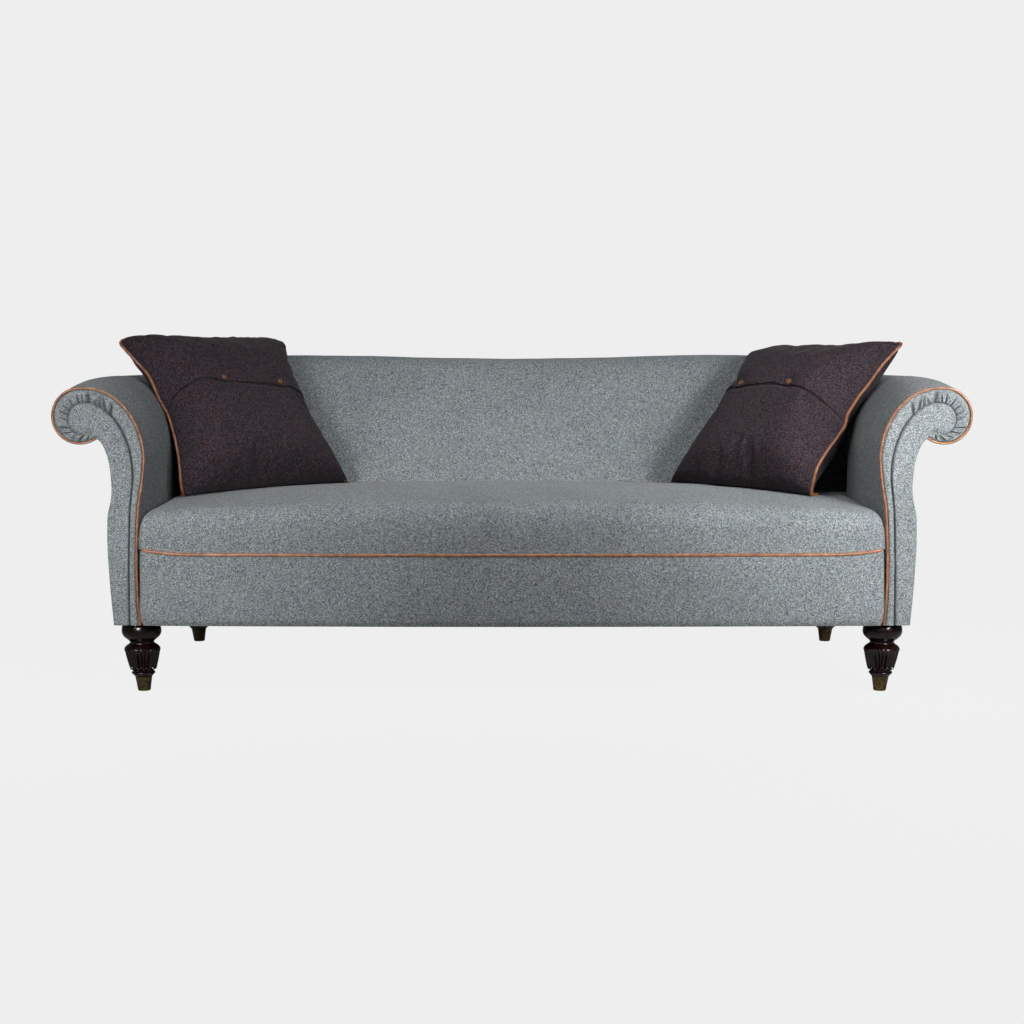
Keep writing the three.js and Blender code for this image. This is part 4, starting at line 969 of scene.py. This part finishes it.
# %% Section of the back
back_at_seat, back_seat_height, back_slope = 0.221, 0.464, 0.3
back_bow_radius = 4.5
back_half = rear_waist + 0.073
rear_panel_top, back_rise, back_roll_start = 0.73, 0.082, 0.66
back_lower_end = 0.3
back_pull = 0.55
back_top_shares = [(0, 0.88), (0.2, 0.91), (0.4, 0.97), (0.61, 1), (0.78, 0.95), (0.88, 0.83),
                   (0.94, 0.63), (0.975, 0.425), (1, 0.21)]
back_top = smooth_rows(*zip(*back_top_shares))


def back_face(x, z):
    return back_at_seat + (z - back_seat_height) * back_slope - x * x / (2 * back_bow_radius)


def back_section(x, steps):
    top = rear_panel_top + back_rise * back_top(clamp(abs(x) / back_half))
    rear = rear_plane(rear_panel_top)
    crown = (back_face(x, rear_panel_top) + rear) / 2
    start = back_face(x, back_roll_start)
    rise = (top - back_roll_start) * back_pull
    points = [(back_face(x, z), z) for z in np.linspace(back_lower_end, back_roll_start, 20)]
    points += cubic((start, back_roll_start), (start + rise * back_slope, back_roll_start + rise),
                    (mix(crown, start, back_pull), top), (crown, top), 24)
    points += cubic((crown, top), (mix(crown, rear, back_pull), top),
                    (rear, (rear_panel_top + top) / 2), (rear, rear_panel_top + clearance), 20)
    return evened(points, steps)


back_rows = 72
back_places = np.linspace(0, back_half, 60)
back_table = np.stack([back_section(x, back_rows) for x in back_places])
print("back table", back_table.shape)

# %% [markdown]
# Like the seat, the back asks the arms how wide it may be at each height. Its ends are drawn
# back by a hair's breadth, only as far as the arm's wadding stays hidden behind them.

# %% Inside back cover
arm_crest = scroll_height + roll_rise + scroll_radius + roll_growth


def back_limit(y, z):
    return back_half if z > arm_crest else min(back_half, arm_face(y, z) - side_gap)


def on_back(u, v):
    row = int(round(v * back_rows))
    x, y, z, limit = drawn_in(closer_at_ends(u, 1.2), back_half,
                              lambda x: table_point(back_places, back_table, x, row), back_limit)
    close = clamp((abs(x) - limit + end_round) / end_round)
    lean = 1 - clamp((z - 0.70) / 0.08)
    y += 0.002 * close ** 3 * lean
    swell = flexed((x, y, z), 0.0018, 4.0, 7.3) + flexed((x, y, z), 0.0006, 16, 2.9)
    swell *= clamp((limit - abs(x)) / 0.08)
    return Vector((x, y - swell * lean, z + swell * (1 - lean)))


back = laid_grid("inside_back_upholstery", 180, back_rows, on_back)
thickened(back, cloth_thickness, (0, 0.36, 0.4), 50)
dressed(back, sofa_tweed, "sofa", "inside_back_cover")
report("back", back)

# %% [markdown]
# One flat-cut sheet closes the whole rear. Its outline follows the arms' scrolls at both ends.
# It is laid as rows from the sheet's middle line out to its outline, and the rows that end on
# a scroll bend through the scroll's middle.

# %% Outside back cover
roll = np.concatenate(arm_line(1, rear_waist))
first = int(np.argmax(roll[:, 1] > rear_panel_top))
level_share = (rear_panel_top - roll[first - 1, 1]) / (roll[first, 1] - roll[first - 1, 1])
scroll_end = evened([mix(roll[first - 1], roll[first], level_share), *roll[first:]], 70)
side_end = evened([scroll_end[-1], *arm_outer(1)], 50)[1:]
rear_rows = np.concatenate([scroll_end, side_end])
rear_hub = np.array([scroll_out - roll_shift - 0.02, scroll_height + roll_rise])
spine_start, rear_end = len(scroll_end) * 0.6, len(rear_rows)


def on_rear(u, v):
    share = 2 * u - 1
    t = abs(share)
    k = int(round(v * (rear_end - 1)))
    spine_up = mix(rear_panel_top, body_bottom, clamp((k - spine_start) / (rear_end - spine_start)))
    spine = np.array([0.0, spine_up - 0.0002 * min(k, len(scroll_end))])
    bend = clamp(k / 8) * clamp((len(scroll_end) + 8 - k) / 16)
    out, up = curved_row(spine, (spine + rear_rows[k]) / 2, rear_rows[k], bend, rear_hub, t)
    up = max(up, body_bottom)
    sag = 0.0012 * clamp((1 - t) * 6) * (0.5 + noise.noise(Vector((out * share, 0, up)) * 3))
    return Vector((math.copysign(out, share), rear_plane(up) - sag, up))


rear_sheet = laid_grid("outside_back", 120, rear_end - 1, on_rear)
mapped_straight(rear_sheet)
rear_cut = flat_cut(rear_sheet)
thickened(rear_sheet, flat_cut_thickness, (0, 0, 0.4), 50)
dressed(rear_sheet, sofa_tweed, "sofa", "outside_back_cover")
report("outside back", rear_sheet, "cut", [round(v, 3) for v in rear_cut])

# %% [markdown]
# Each leg is turned from mahogany: a bun at the top, a deep cove, a shoulder, then a taper with
# fourteen flutes and a bead above the brass. As on a lathe, it grows row by row from a circle.
# The flutes are cut afterwards, scooped out at both ends as a gouge leaves them.

# %% Legs
leg_out, leg_rake, leg_place = waist_out + 0.0185, 0.008, 0.39
ferrule_height = 0.035
leg_turning = body_bottom - ferrule_height
flute_count = 14
leg_sides = flute_count * 14
flute_low, flute_high, flute_cut, leg_core = 0.138, 0.515, 0.0088, 0.012
leg_rows = [(41.0, 1.0), (42.6, 0.985), (44.4, 0.955), (46.0, 0.915), (46.9, 0.875), (47.2, 0.838),
            (46.8, 0.805), (45.4, 0.772), (42.6, 0.74), (38.6, 0.71), (34.0, 0.682), (30.6, 0.66),
            (28.8, 0.64), (28.5, 0.625), (29.4, 0.612), (31.2, 0.60), (34.6, 0.583), (38.2, 0.562),
            (40.8, 0.542), (42.5, 0.522), (43.3, 0.503), (43.2, 0.488), (42.6, 0.472), (41.9, 0.455),
            (41.4, 0.44), (40.9, 0.42), (40.2, 0.39), (39.3, 0.355), (38.3, 0.32), (37.2, 0.285),
            (36.0, 0.25), (34.8, 0.215), (33.6, 0.182), (32.7, 0.16), (32.0, 0.145), (31.2, 0.132),
            (28.4, 0.122), (25.2, 0.112), (24.2, 0.102), (24.4, 0.092), (26.4, 0.084), (27.8, 0.073),
            (28.0, 0.062), (27.6, 0.051), (26.2, 0.041), (24.4, 0.03), (23.6, 0.02), (22.4, 0.008),
            (18.0, 0.002), (14.6, -0.15)]


def flute_depth(height_share, turn):
    along = clamp((height_share - flute_low) / (flute_high - flute_low))
    opening = clamp(along / 0.08) ** 0.5 * clamp((1 - along) / 0.35) ** 0.6
    edge = 1 - 0.8 * opening
    wave = abs(math.sin(turn * flute_count / 2))
    return flute_cut * opening * clamp((wave - edge) / (1 - edge + 1e-6)) ** 0.6


def turned(name, rows, sides):
    """Turn a shape from rows of (radius in mm, height in m), as on a lathe."""
    rows = [(radius / 1000, height) for radius, height in rows]
    select_only()
    bpy.ops.mesh.primitive_circle_add(vertices=sides, radius=rows[0][0], fill_type="NGON",
                                      location=(0, 0, rows[0][1]))
    piece = bpy.context.object
    piece.name = name
    bpy.ops.object.transform_apply(location=True, rotation=True, scale=True)
    bpy.ops.object.mode_set(mode="EDIT")
    bpy.ops.mesh.select_all(action="SELECT")
    for (radius, height), (next_radius, next_height) in zip(rows, rows[1:]):
        bpy.ops.mesh.extrude_region_move(TRANSFORM_OT_translate={"value": (0, 0, next_height - height)})
        ratio = next_radius / radius
        bpy.ops.transform.resize(value=(ratio, ratio, 1), center_override=(0, 0, next_height))
    bpy.ops.mesh.select_all(action="SELECT")
    bpy.ops.mesh.normals_make_consistent(inside=False)
    bpy.ops.object.mode_set(mode="OBJECT")
    return piece


def on_four_legs(model, name, finish, slot, node):
    """Put a copy of a turned shape at each leg, raked a little inwards towards its foot."""
    for end, place in (("front", -leg_place), ("rear", leg_place)):
        for side, sign in (("right", 1), ("left", -1)):
            copy = own_copy(model, f"{side}_{end}_{name}")
            for vertex in copy.data.vertices:
                rake = leg_rake * (1 - min(vertex.co.z / body_bottom, 1))
                vertex.co.x += sign * (leg_out - rake)
                vertex.co.y += place
            dressed(copy, finish, "sofa", f"{side}_{end}_{node}")
    report(slot, model, "on four legs")
    bpy.data.objects.remove(model)


leg_model = turned("leg_model", [(r, ferrule_height + leg_turning * h) for r, h in leg_rows], leg_sides)
for vertex in leg_model.data.vertices:
    x, y, z = vertex.co
    radius = math.hypot(x, y)
    if radius >= leg_core:
        kept_share = 1 - flute_depth((z - ferrule_height) / leg_turning, math.atan2(y, x)) / radius
        vertex.co = (x * kept_share, y * kept_share, z)
smooth_shaded(leg_model, 50)
print("leg model", [round(v, 4) for v in leg_model.dimensions])

# %% [markdown]
# The legs are polished so dark that the red of the mahogany shows only where light grazes it. A
# stretched noise gives streaks of grain along the leg, and a thin coat gives the polish its
# sharp highlights over the softer wood.

# %% Mahogany
def turned_wood(name, dark, light, grain_scale, roughness, coat):
    finish = Finish(name)
    stretch = finish.add("Mapping", {"Vector": finish.where, "Scale": grain_scale})
    pores = finish.noise(stretch, 5.0, 3.0, 0.6)
    tone = finish.ramp(finish.noise(stretch, 1.0, 6.0, 0.62), [(0.3, dark), (0.72, light)])
    base = finish.mixed(1.0, tone, finish.grey_ramp(pores, (0.36, 0.45), (0.46, 1)), "MULTIPLY")
    return finish.finished(pores, 0.12, 0.0004, Base_Color=base, Roughness=roughness, Coat_Weight=coat,
                           Coat_Roughness=0.12, Specular_IOR_Level=0.35)


mahogany = turned_wood("polished_mahogany", (0.0014, 0.0007, 0.0006), (0.012, 0.0028, 0.0018),
                       (60, 60, 7), 0.2, 0.05)
on_four_legs(leg_model, "turned_leg", mahogany, "mahogany", "leg")

# %% [markdown]
# A tapered brass cup shoes each leg. It has a small rolled lip where the wood enters and a
# rounded foot. Old brass is brown in its hollows and bright where it was rubbed.

# %% Ferrules
ferrule_rows = [(11.0, 0.0), (14.0, 0.0), (14.9, 0.0006), (15.2, 0.0018), (15.5, 0.004), (16.9, 0.0135),
                (18.6, 0.0240), (19.9, 0.0320), (20.3, 0.0338), (20.4, 0.0346), (20.0, 0.035),
                (19.5, 0.0349), (19.2, 0.0342), (18.9, 0.030), (17.2, 0.020), (14.2, 0.0015), (6.0, 0.0013)]


def aged_metal(name, dull, bright, roughness):
    finish = Finish(name)
    tarnish = finish.noise(finish.where, 120, 5.0, 0.65)
    stretch = finish.add("Mapping", {"Vector": finish.where, "Scale": (900, 900, 40)})
    return finish.finished(finish.noise(stretch, 1.0, 3.0, 0.6), 0.25, 0.0002, Metallic=1.0,
                           Base_Color=finish.ramp(tarnish, [(0.34, dull), (0.66, bright)]),
                           Roughness=finish.grey_ramp(tarnish, (0.3, roughness + 0.16), (0.7, roughness)))


aged_brass = aged_metal("aged_brass", (0.03, 0.02, 0.01), (0.17, 0.12, 0.06), 0.26)
ferrule_model = turned("ferrule_model", ferrule_rows, 64)
smooth_shaded(ferrule_model, 50)
on_four_legs(ferrule_model, "brass_cup", aged_brass, "aged_brass", "ferrule")

# %% [markdown]
# Each scatter cushion is a square cover filled to bursting in the middle, whose sides are drawn
# in between its four corners. It stands on one lower edge, leans into the corner between arm
# and back, and is flattened where it touches them. It is shaped in its own frame first: X
# along its width, Z up its face, and its front at negative Y.

# %% Shape and place of a cushion
cushion_size, cushion_thickness, cushion_draw = 0.498, 0.175, 0.075
cushion_half = cushion_size / 2
cushion_fullness = 0.38
cushion_piping_radius = 0.0035
body_half = cushion_half - cushion_piping_radius * 0.6
cushion_places = {"left": (0.2882, 0.3956, 0.362), "right": (0.3263, 0.4538, 0.341)}
cushion_angles = {"left": (39.5, -38.3, -3.1), "right": (-50.8, -43.3, -0.4)}
outer_of = {"left": -1, "right": 1}
side_pull = {"left": (1.05, 0.3), "right": (0.85, 0.6)}
tucked_under, curled_up, curled_down = 0.085, 0.058, 0.022
corner_out, corner_down, top_raise = 0.01, 0.012, 1.25


def on_cushion(half, s, t):
    return half * s * (1 - cushion_draw * (1 - t * t)), half * t * (1 - cushion_draw * (1 - s * s))


def curves(rows):
    return {side: smooth_rows(*zip(*rows[side])) for side in ("left", "right")}


side_pulled = curves({"left": [(-1, -0.014), (-0.9, -0.015), (-0.8, -0.012), (-0.6, 0.004),
                               (-0.35, 0.017), (-0.15, 0.023), (0, 0.026), (0.2, 0.023),
                               (0.48, 0.026), (0.75, 0.012), (1, 0)],
                      "right": [(-1, -0.026), (-0.85, -0.004), (-0.61, 0.017), (-0.43, 0.014),
                                (-0.28, 0.009), (-0.13, 0.007), (0.05, 0.016), (0.24, 0.016),
                                (0.43, 0.012), (0.64, 0.011), (1, 0)]})
top_raised = curves({"left": [(-1, -0.008), (-0.69, 0.004), (-0.49, 0.008), (-0.28, 0.012), (0, 0.017),
                              (0.18, 0.021), (0.36, 0.021), (0.7, 0.02), (0.85, 0.014), (1, 0)],
                     "right": [(-1, -0.004), (-0.6, 0.002), (-0.35, 0.014), (-0.03, 0.019), (0.23, 0.016),
                               (0.49, 0.012), (0.75, 0.012), (1, 0.012)]})


def eased(value, low, high):
    t = clamp((value - low) / (high - low))
    return t * t * (3 - 2 * t)


def slumped(p, side):
    """Where a point of the plain cushion lies once the cushion stands in its corner."""
    outer = outer_of[side]
    s, t = p.x / cushion_half * outer, p.z / cushion_half
    inwards, forwards = side_pull[side]
    pull = side_pulled[side](t) * eased(s, 0.2, 1)
    under = tucked_under * eased(-t, 0.62, 1)
    curl = curled_up * clamp((-t - 0.8) / 0.2) ** 1.5 - curled_down * eased(-t, 0.2, 0.85)
    turn = math.radians(cushion_angles[side][0])
    corner = eased(min(-s, t), 0.5, 1)
    lift = top_raise * top_raised[side](s) * eased(t, 0.3, 1)
    return Vector((p.x - outer * (inwards * pull + corner_out * corner) + under * math.sin(turn),
                   p.y - forwards * pull + under * math.cos(turn),
                   p.z + curl - corner_down * corner + lift))


def cushion_matrix(side):
    inset, out, rise = (share * cushion_size for share in cushion_places[side])
    turn, lean, roll = (math.radians(angle) for angle in cushion_angles[side])
    return (Matrix.Translation((outer_of[side] * (waist_out - inset), back_at_seat - out, seat_crest + rise))
            @ Matrix.Rotation(turn, 4, "Z") @ Matrix.Rotation(lean, 4, "X") @ Matrix.Rotation(roll, 4, "Y"))


def stuffed(name, seed):
    """A closed pillow in its own frame, front and back joined along the seam."""
    def face(sign):
        def place(u, v):
            s, t = math.sin(quarter_turn * (2 * u - 1)), math.sin(quarter_turn * (2 * v - 1))
            x, z = on_cushion(body_half, s, t)
            y = cushion_thickness / 2 * max((1 - s * s) * (1 - t * t), 0) ** cushion_fullness
            return Vector((x, sign * y * (1 + 0.06 * noise.noise(Vector((x * 6, z * 6, seed + sign)))), z))
        return place

    front = laid_grid(f"{name}_front", 44, 44, face(-1))
    rear = laid_grid(f"{name}_rear", 44, 44, face(1))
    select_only(rear, front)
    bpy.ops.object.join()
    front.name = name
    tidy_mesh(front, 0.0002)
    return front


print("cushion size", cushion_size, cushion_thickness)

# %% [markdown]
# The filling presses the cover outwards and the seam holds it in, and that is what puts the
# small puckers along the seam. A cloth simulation does the same: the seam's points are pinned,
# the cover is cut a little too large, and pressure from inside blows it up. Each point may
# move only a few centimetres, so the cushion keeps its measured size. Then it is pressed out
# of the seat, the arm and the back, and smoothed round the places that were pressed.

# %% Blow up a cushion
inner_pressure, cover_ease, widest_move = 3.2, -0.035, 0.024
blow_up_frames = 22


def blown_up(body):
    remesh = body.modifiers.new("even", "REMESH")
    remesh.mode = "VOXEL"
    remesh.voxel_size = 0.0055
    apply_all(body)
    start = [v.co.copy() for v in body.data.vertices]
    seam = [v.index for v in body.data.vertices
            if abs(v.co.y) < 0.006 and max(abs(v.co.x), abs(v.co.z)) > body_half * 0.86]
    body.vertex_groups.new(name="seam").add(seam, 1.0, "REPLACE")
    cloth = body.modifiers.new("cloth", "CLOTH")
    settings = cloth.settings
    settings.quality = 6
    settings.mass = 0.25
    settings.tension_stiffness = settings.compression_stiffness = 12
    settings.shear_stiffness = 6
    settings.bending_stiffness = 0.35
    settings.use_pressure = True
    settings.uniform_pressure_force = inner_pressure
    settings.shrink_min = cover_ease
    settings.vertex_group_mass = "seam"
    settings.effector_weights.gravity = 0
    cloth.collision_settings.use_collision = False
    cloth.point_cache.frame_start, cloth.point_cache.frame_end = 1, blow_up_frames
    for frame_number in range(1, blow_up_frames + 1):
        scene.frame_set(frame_number)
    apply_all(body)
    for vertex, first in zip(body.data.vertices, start):
        move = vertex.co - first
        if move.length > widest_move:
            vertex.co = first + move * (widest_move / move.length)
    scene.frame_set(1)
    body.vertex_groups.clear()
    smooth = body.modifiers.new("subdivision", "SUBSURF")
    smooth.levels = smooth.render_levels = 1
    apply_all(body)


def settle_point(p, margin):
    """Push a point out of the seat, the arm and the back, and leave it on their surface."""
    side = math.copysign(1, p.x)
    if p.z < arm_crest:
        p.x = side * min(abs(p.x), arm_face(p.y, p.z) - margin)
    if p.z < 0.8:
        p.y = min(p.y, back_face(p.x, p.z) - margin)
    p.z = max(p.z, seat_top(p.x, p.y) + margin)
    return p


def relaxed(piece, margin, rounds):
    """Settle every point, then even out the surface round the places that were pushed."""
    mesh = piece.data
    first = np.array([v.co for v in mesh.vertices])
    ends = np.array([edge.vertices[:] for edge in mesh.edges])
    one, other = ends[:, 0], ends[:, 1]
    valence = np.bincount(ends.ravel(), minlength=len(first))[:, None]
    coords = np.array([settle_point(Vector(p), margin)[:] for p in first])
    touched = np.linalg.norm(coords - first, axis=1) > 1e-5
    for _ in range(rounds):
        spread = touched.copy()
        spread[one[touched[other]]] = True
        spread[other[touched[one]]] = True
        touched = spread
        total = np.zeros_like(coords)
        np.add.at(total, one, coords[other])
        np.add.at(total, other, coords[one])
        coords[touched] = (coords[touched] + (total / valence)[touched]) / 2
        near = np.flatnonzero(touched)
        coords[near] = [settle_point(Vector(coords[k]), margin)[:] for k in near]
    mesh.vertices.foreach_set("co", coords.ravel())
    mesh.update()


print("blow-up frames", blow_up_frames)

# %% [markdown]
# The cushion's parts are laid on each other in the order in which they are sewn. The piping
# follows the seam. The flap is a second layer over the top of the front: every point of it
# is dropped on to the stuffed body with a ray, so it lies on all its bumps. Its free edge
# is slightly scalloped between the places where it is stitched down.

# %% Sew a cushion
flap_edges = curves({"left": [(-1, 0.025), (-0.8, 0.03), (-0.6, 0.02), (-0.25, 0.035), (0.25, 0.12),
                              (0.45, 0.165), (0.65, 0.205), (0.8, 0.195), (0.93, 0.14), (1, 0.05)],
                     "right": [(-1, 0.08), (-0.8, 0.07), (-0.6, 0.06), (-0.2, 0.065), (0.1, 0.085),
                               (0.35, 0.085), (0.55, 0.05), (0.75, 0.01), (0.9, -0.03), (1, -0.07)]})
button_rise, button_places = 0.056, (-0.27, 0.45)
button_rows = [(0.5, -1.2), (6.4, -1.0), (7.6, -0.2), (8.0, 1.0), (7.7, 2.4), (6.6, 3.6), (4.6, 4.5),
               (2.2, 4.9), (0.4, 5.0)]
groove_depth, groove_width, dimple_depth, dimple_radius = 0.006, 0.006, 0.009, 0.022
seam_end = 0.985
cushion_seeds = {"left": 3.3, "right": 8.6}


def seam_path(half, steps=60):
    """The drawn-in square of the seam, with its corners rounded off."""
    rows = []
    for turn in (0, quarter_turn, 2 * quarter_turn, 3 * quarter_turn):
        for k in range(steps):
            share = math.sin(quarter_turn * (2 * k / steps - 1)) * seam_end
            x, z = on_cushion(half, share, -seam_end if abs(share) > 0.97 else -1.0)
            rows.append((x * math.cos(turn) - z * math.sin(turn), x * math.sin(turn) + z * math.cos(turn)))
    return evened([*rows, rows[0]], 420)[:-1]


def sewn_cushion(side):
    outer, own = outer_of[side], f"{side}_cushion"
    matrix, flap_edge = cushion_matrix(side), flap_edges[side]

    def stood(x, z):
        return matrix @ slumped(Vector((x, 0, z)), side)

    body = stuffed(f"{own}_body", cushion_seeds[side])
    blown_up(body)
    button_centres = [on_cushion(body_half, -place * outer, flap_edge(-place) + button_rise)
                      for place in button_places]
    for vertex in body.data.vertices:
        x, y, z = vertex.co
        if y < 0:
            below = flap_edge(clamp(x * outer / body_half / (1 - cushion_draw), -1)) * body_half - z
            vertex.co.y += groove_depth * math.exp(-((below - 0.003) / groove_width) ** 2)
            for bx, bz in button_centres:
                away = ((x - bx) ** 2 + (z - bz) ** 2) / dimple_radius ** 2
                vertex.co.y += dimple_depth * math.exp(-away)
        vertex.co = slumped(vertex.co, side)
    mapped_straight(body)
    body.data.transform(matrix)
    relaxed(body, 0.0025, 10)
    smooth_shaded(body, 80)
    tree = BVHTree.FromObject(body, bpy.context.evaluated_depsgraph_get())
    forward = (matrix.to_3x3() @ Vector((0, -1, 0))).normalized()

    path = [settle_point(stood(x, z), cushion_piping_radius + 0.001) for x, z in seam_path(cushion_half)]
    piping = piping_tube(f"{own}_leather_piping", [*path, path[0]], cushion_piping_radius)

    def on_body(x, z, lift):
        hit, normal, _, _ = tree.ray_cast(stood(x, z) + forward * 0.4, -forward)
        if hit is None:
            hit, normal, _, _ = tree.find_nearest(stood(x, z))
        return hit + forward * lift, normal

    def on_flap(u, v):
        s = 2 * u - 1
        edge = flap_edge(s * outer) + 0.004 * math.sin(s * 9.5 + outer)
        x, z = on_cushion(body_half, s * seam_end, mix(edge, 0.975, 1 - (1 - v) ** 1.2))
        rim = 0.0045 * (1 - clamp(v / 0.05))
        return on_body(x, z, 0.002 + rim + 0.0012 * math.sin(math.pi * clamp(v * 3)) * (1 - v))[0]

    flap = laid_grid(f"{own}_buttoned_flap", 90, 46, on_flap)
    cut = flat_cut(flap)
    mapped_straight(flap, matrix.inverted())
    thickened(flap, flat_cut_thickness, matrix.translation, 60)
    dressed(body, cushion_tweed, own, own)
    dressed(piping, piping_leather, own, f"{own}_piping")
    dressed(flap, cushion_tweed, own, f"{own}_flap")

    for (x, z), label in zip(button_centres, ("outer", "inner")):
        hit, normal = on_body(x, z, 0.0035)
        button = turned(f"{own}_{label}_leather_button", [(r, h / 1000) for r, h in button_rows], 32)
        turn = Vector((0, 0, 1)).rotation_difference(normal).to_matrix().to_4x4()
        button.data.transform(Matrix.Translation(hit) @ turn)
        smooth_shaded(button, 60)
        dressed(button, button_leather, own, f"{own}_{label}_button")
    report(own, body)


for side in ("left", "right"):
    sewn_cushion(side)

# %% [markdown]
# Under the sofa a thin black cloth hides the springs. It is stapled flat to the frame, with a
# round hole for each leg, and sags a little between the rails. It is laid as a flat grid that
# follows the bowed front, and the squares of the grid over the legs are taken out.

# %% Dust cloth
black_cloth = tweed("black_dust_cloth", [(0.2, (0.01, 0.01, 0.011)), (0.8, (0.03, 0.03, 0.033))],
                    (0.004, 0.004, 0.005), (0.045, 0.045, 0.05), 0.02)
cloth_side, cloth_front, cloth_rear, cloth_level = 0.9493, 0.0085, 0.4384, 0.1678
cloth_sag, hole_radius, hole_rim = 0.0022, 0.047, 0.0055


def on_underside(u, v):
    x = mix(-cloth_side, cloth_side, u)
    y = mix(seat_front(min(abs(x), seat_half)) + cloth_front, cloth_rear, v)
    return Vector((x, y, cloth_level - cloth_sag * math.sin(math.pi * u) * math.sin(math.pi * v)))


underside = laid_grid("underside_dust_cloth", 240, 110, on_underside)
bpy.ops.object.mode_set(mode="EDIT")
bpy.ops.mesh.select_mode(type="FACE")
bpy.ops.mesh.select_all(action="DESELECT")
bpy.ops.object.mode_set(mode="OBJECT")
for face in underside.data.polygons:
    x, y, _ = face.center
    face.select = math.hypot(abs(x) - leg_out, abs(y) - leg_place) < hole_radius
bpy.ops.object.mode_set(mode="EDIT")
bpy.ops.mesh.delete(type="FACE")
bpy.ops.object.mode_set(mode="OBJECT")
for vertex in underside.data.vertices:
    x, y, z = vertex.co
    centre = Vector((math.copysign(leg_out, x), math.copysign(leg_place, y), z))
    spoke = vertex.co - centre
    if spoke.length < hole_radius + hole_rim:
        vertex.co = centre + spoke.normalized() * hole_radius
under_cut = flat_cut(underside)
solid = underside.modifiers.new("thickness", "SOLIDIFY")
solid.thickness, solid.offset = 0.001, 0
apply_all(underside)
smooth_shaded(underside, 50)
dressed(underside, black_cloth, "sofa", "dust_cover")
report("dust cloth", underside, "cut", [round(v, 3) for v in under_cut])

# %% [markdown]
# What lies inside the upholstery keeps the frame's own solids. Each gets a finish of what it
# is made of, so that the sofa is right in every part even where nobody looks.

# %% The frame's own finishes
beech = turned_wood("beech_frame", (0.36, 0.22, 0.11), (0.62, 0.42, 0.24), (40, 40, 40), 0.6, 0.0)
spring_steel = aged_metal("spring_steel", (0.1, 0.1, 0.105), (0.3, 0.3, 0.31), 0.36)
jute_cloth = tweed("jute_hessian", [(0.2, (0.2, 0.13, 0.07)), (0.8, (0.5, 0.36, 0.2))],
                   (0.14, 0.09, 0.05), (0.6, 0.48, 0.3), 0.05)
wadding = tweed("cotton_wadding", [(0.2, (0.6, 0.57, 0.5)), (0.8, (0.8, 0.78, 0.72))],
                (0.5, 0.48, 0.42), (0.85, 0.83, 0.78), 0.05)
hidden_finishes = {"seat_spring_unit": spring_steel, "seat_hessian": jute_cloth, "back_webbing": jute_cloth,
                   "seat_pad": wadding, "back_pad": wadding, "left_arm_pad": wadding,
                   "right_arm_pad": wadding, "dust_cover": black_cloth}
for name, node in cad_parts.items():
    finish = hidden_finishes.get(name, beech)
    for place in node.material_slots:
        place.material = finish
    if not node.material_slots:
        node.data.materials.append(finish)
print("frame nodes finished", len(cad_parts))

# %% [markdown]
# Last, every piece is deselected.

# %% Deselect
bpy.ops.object.select_all(action="DESELECT")
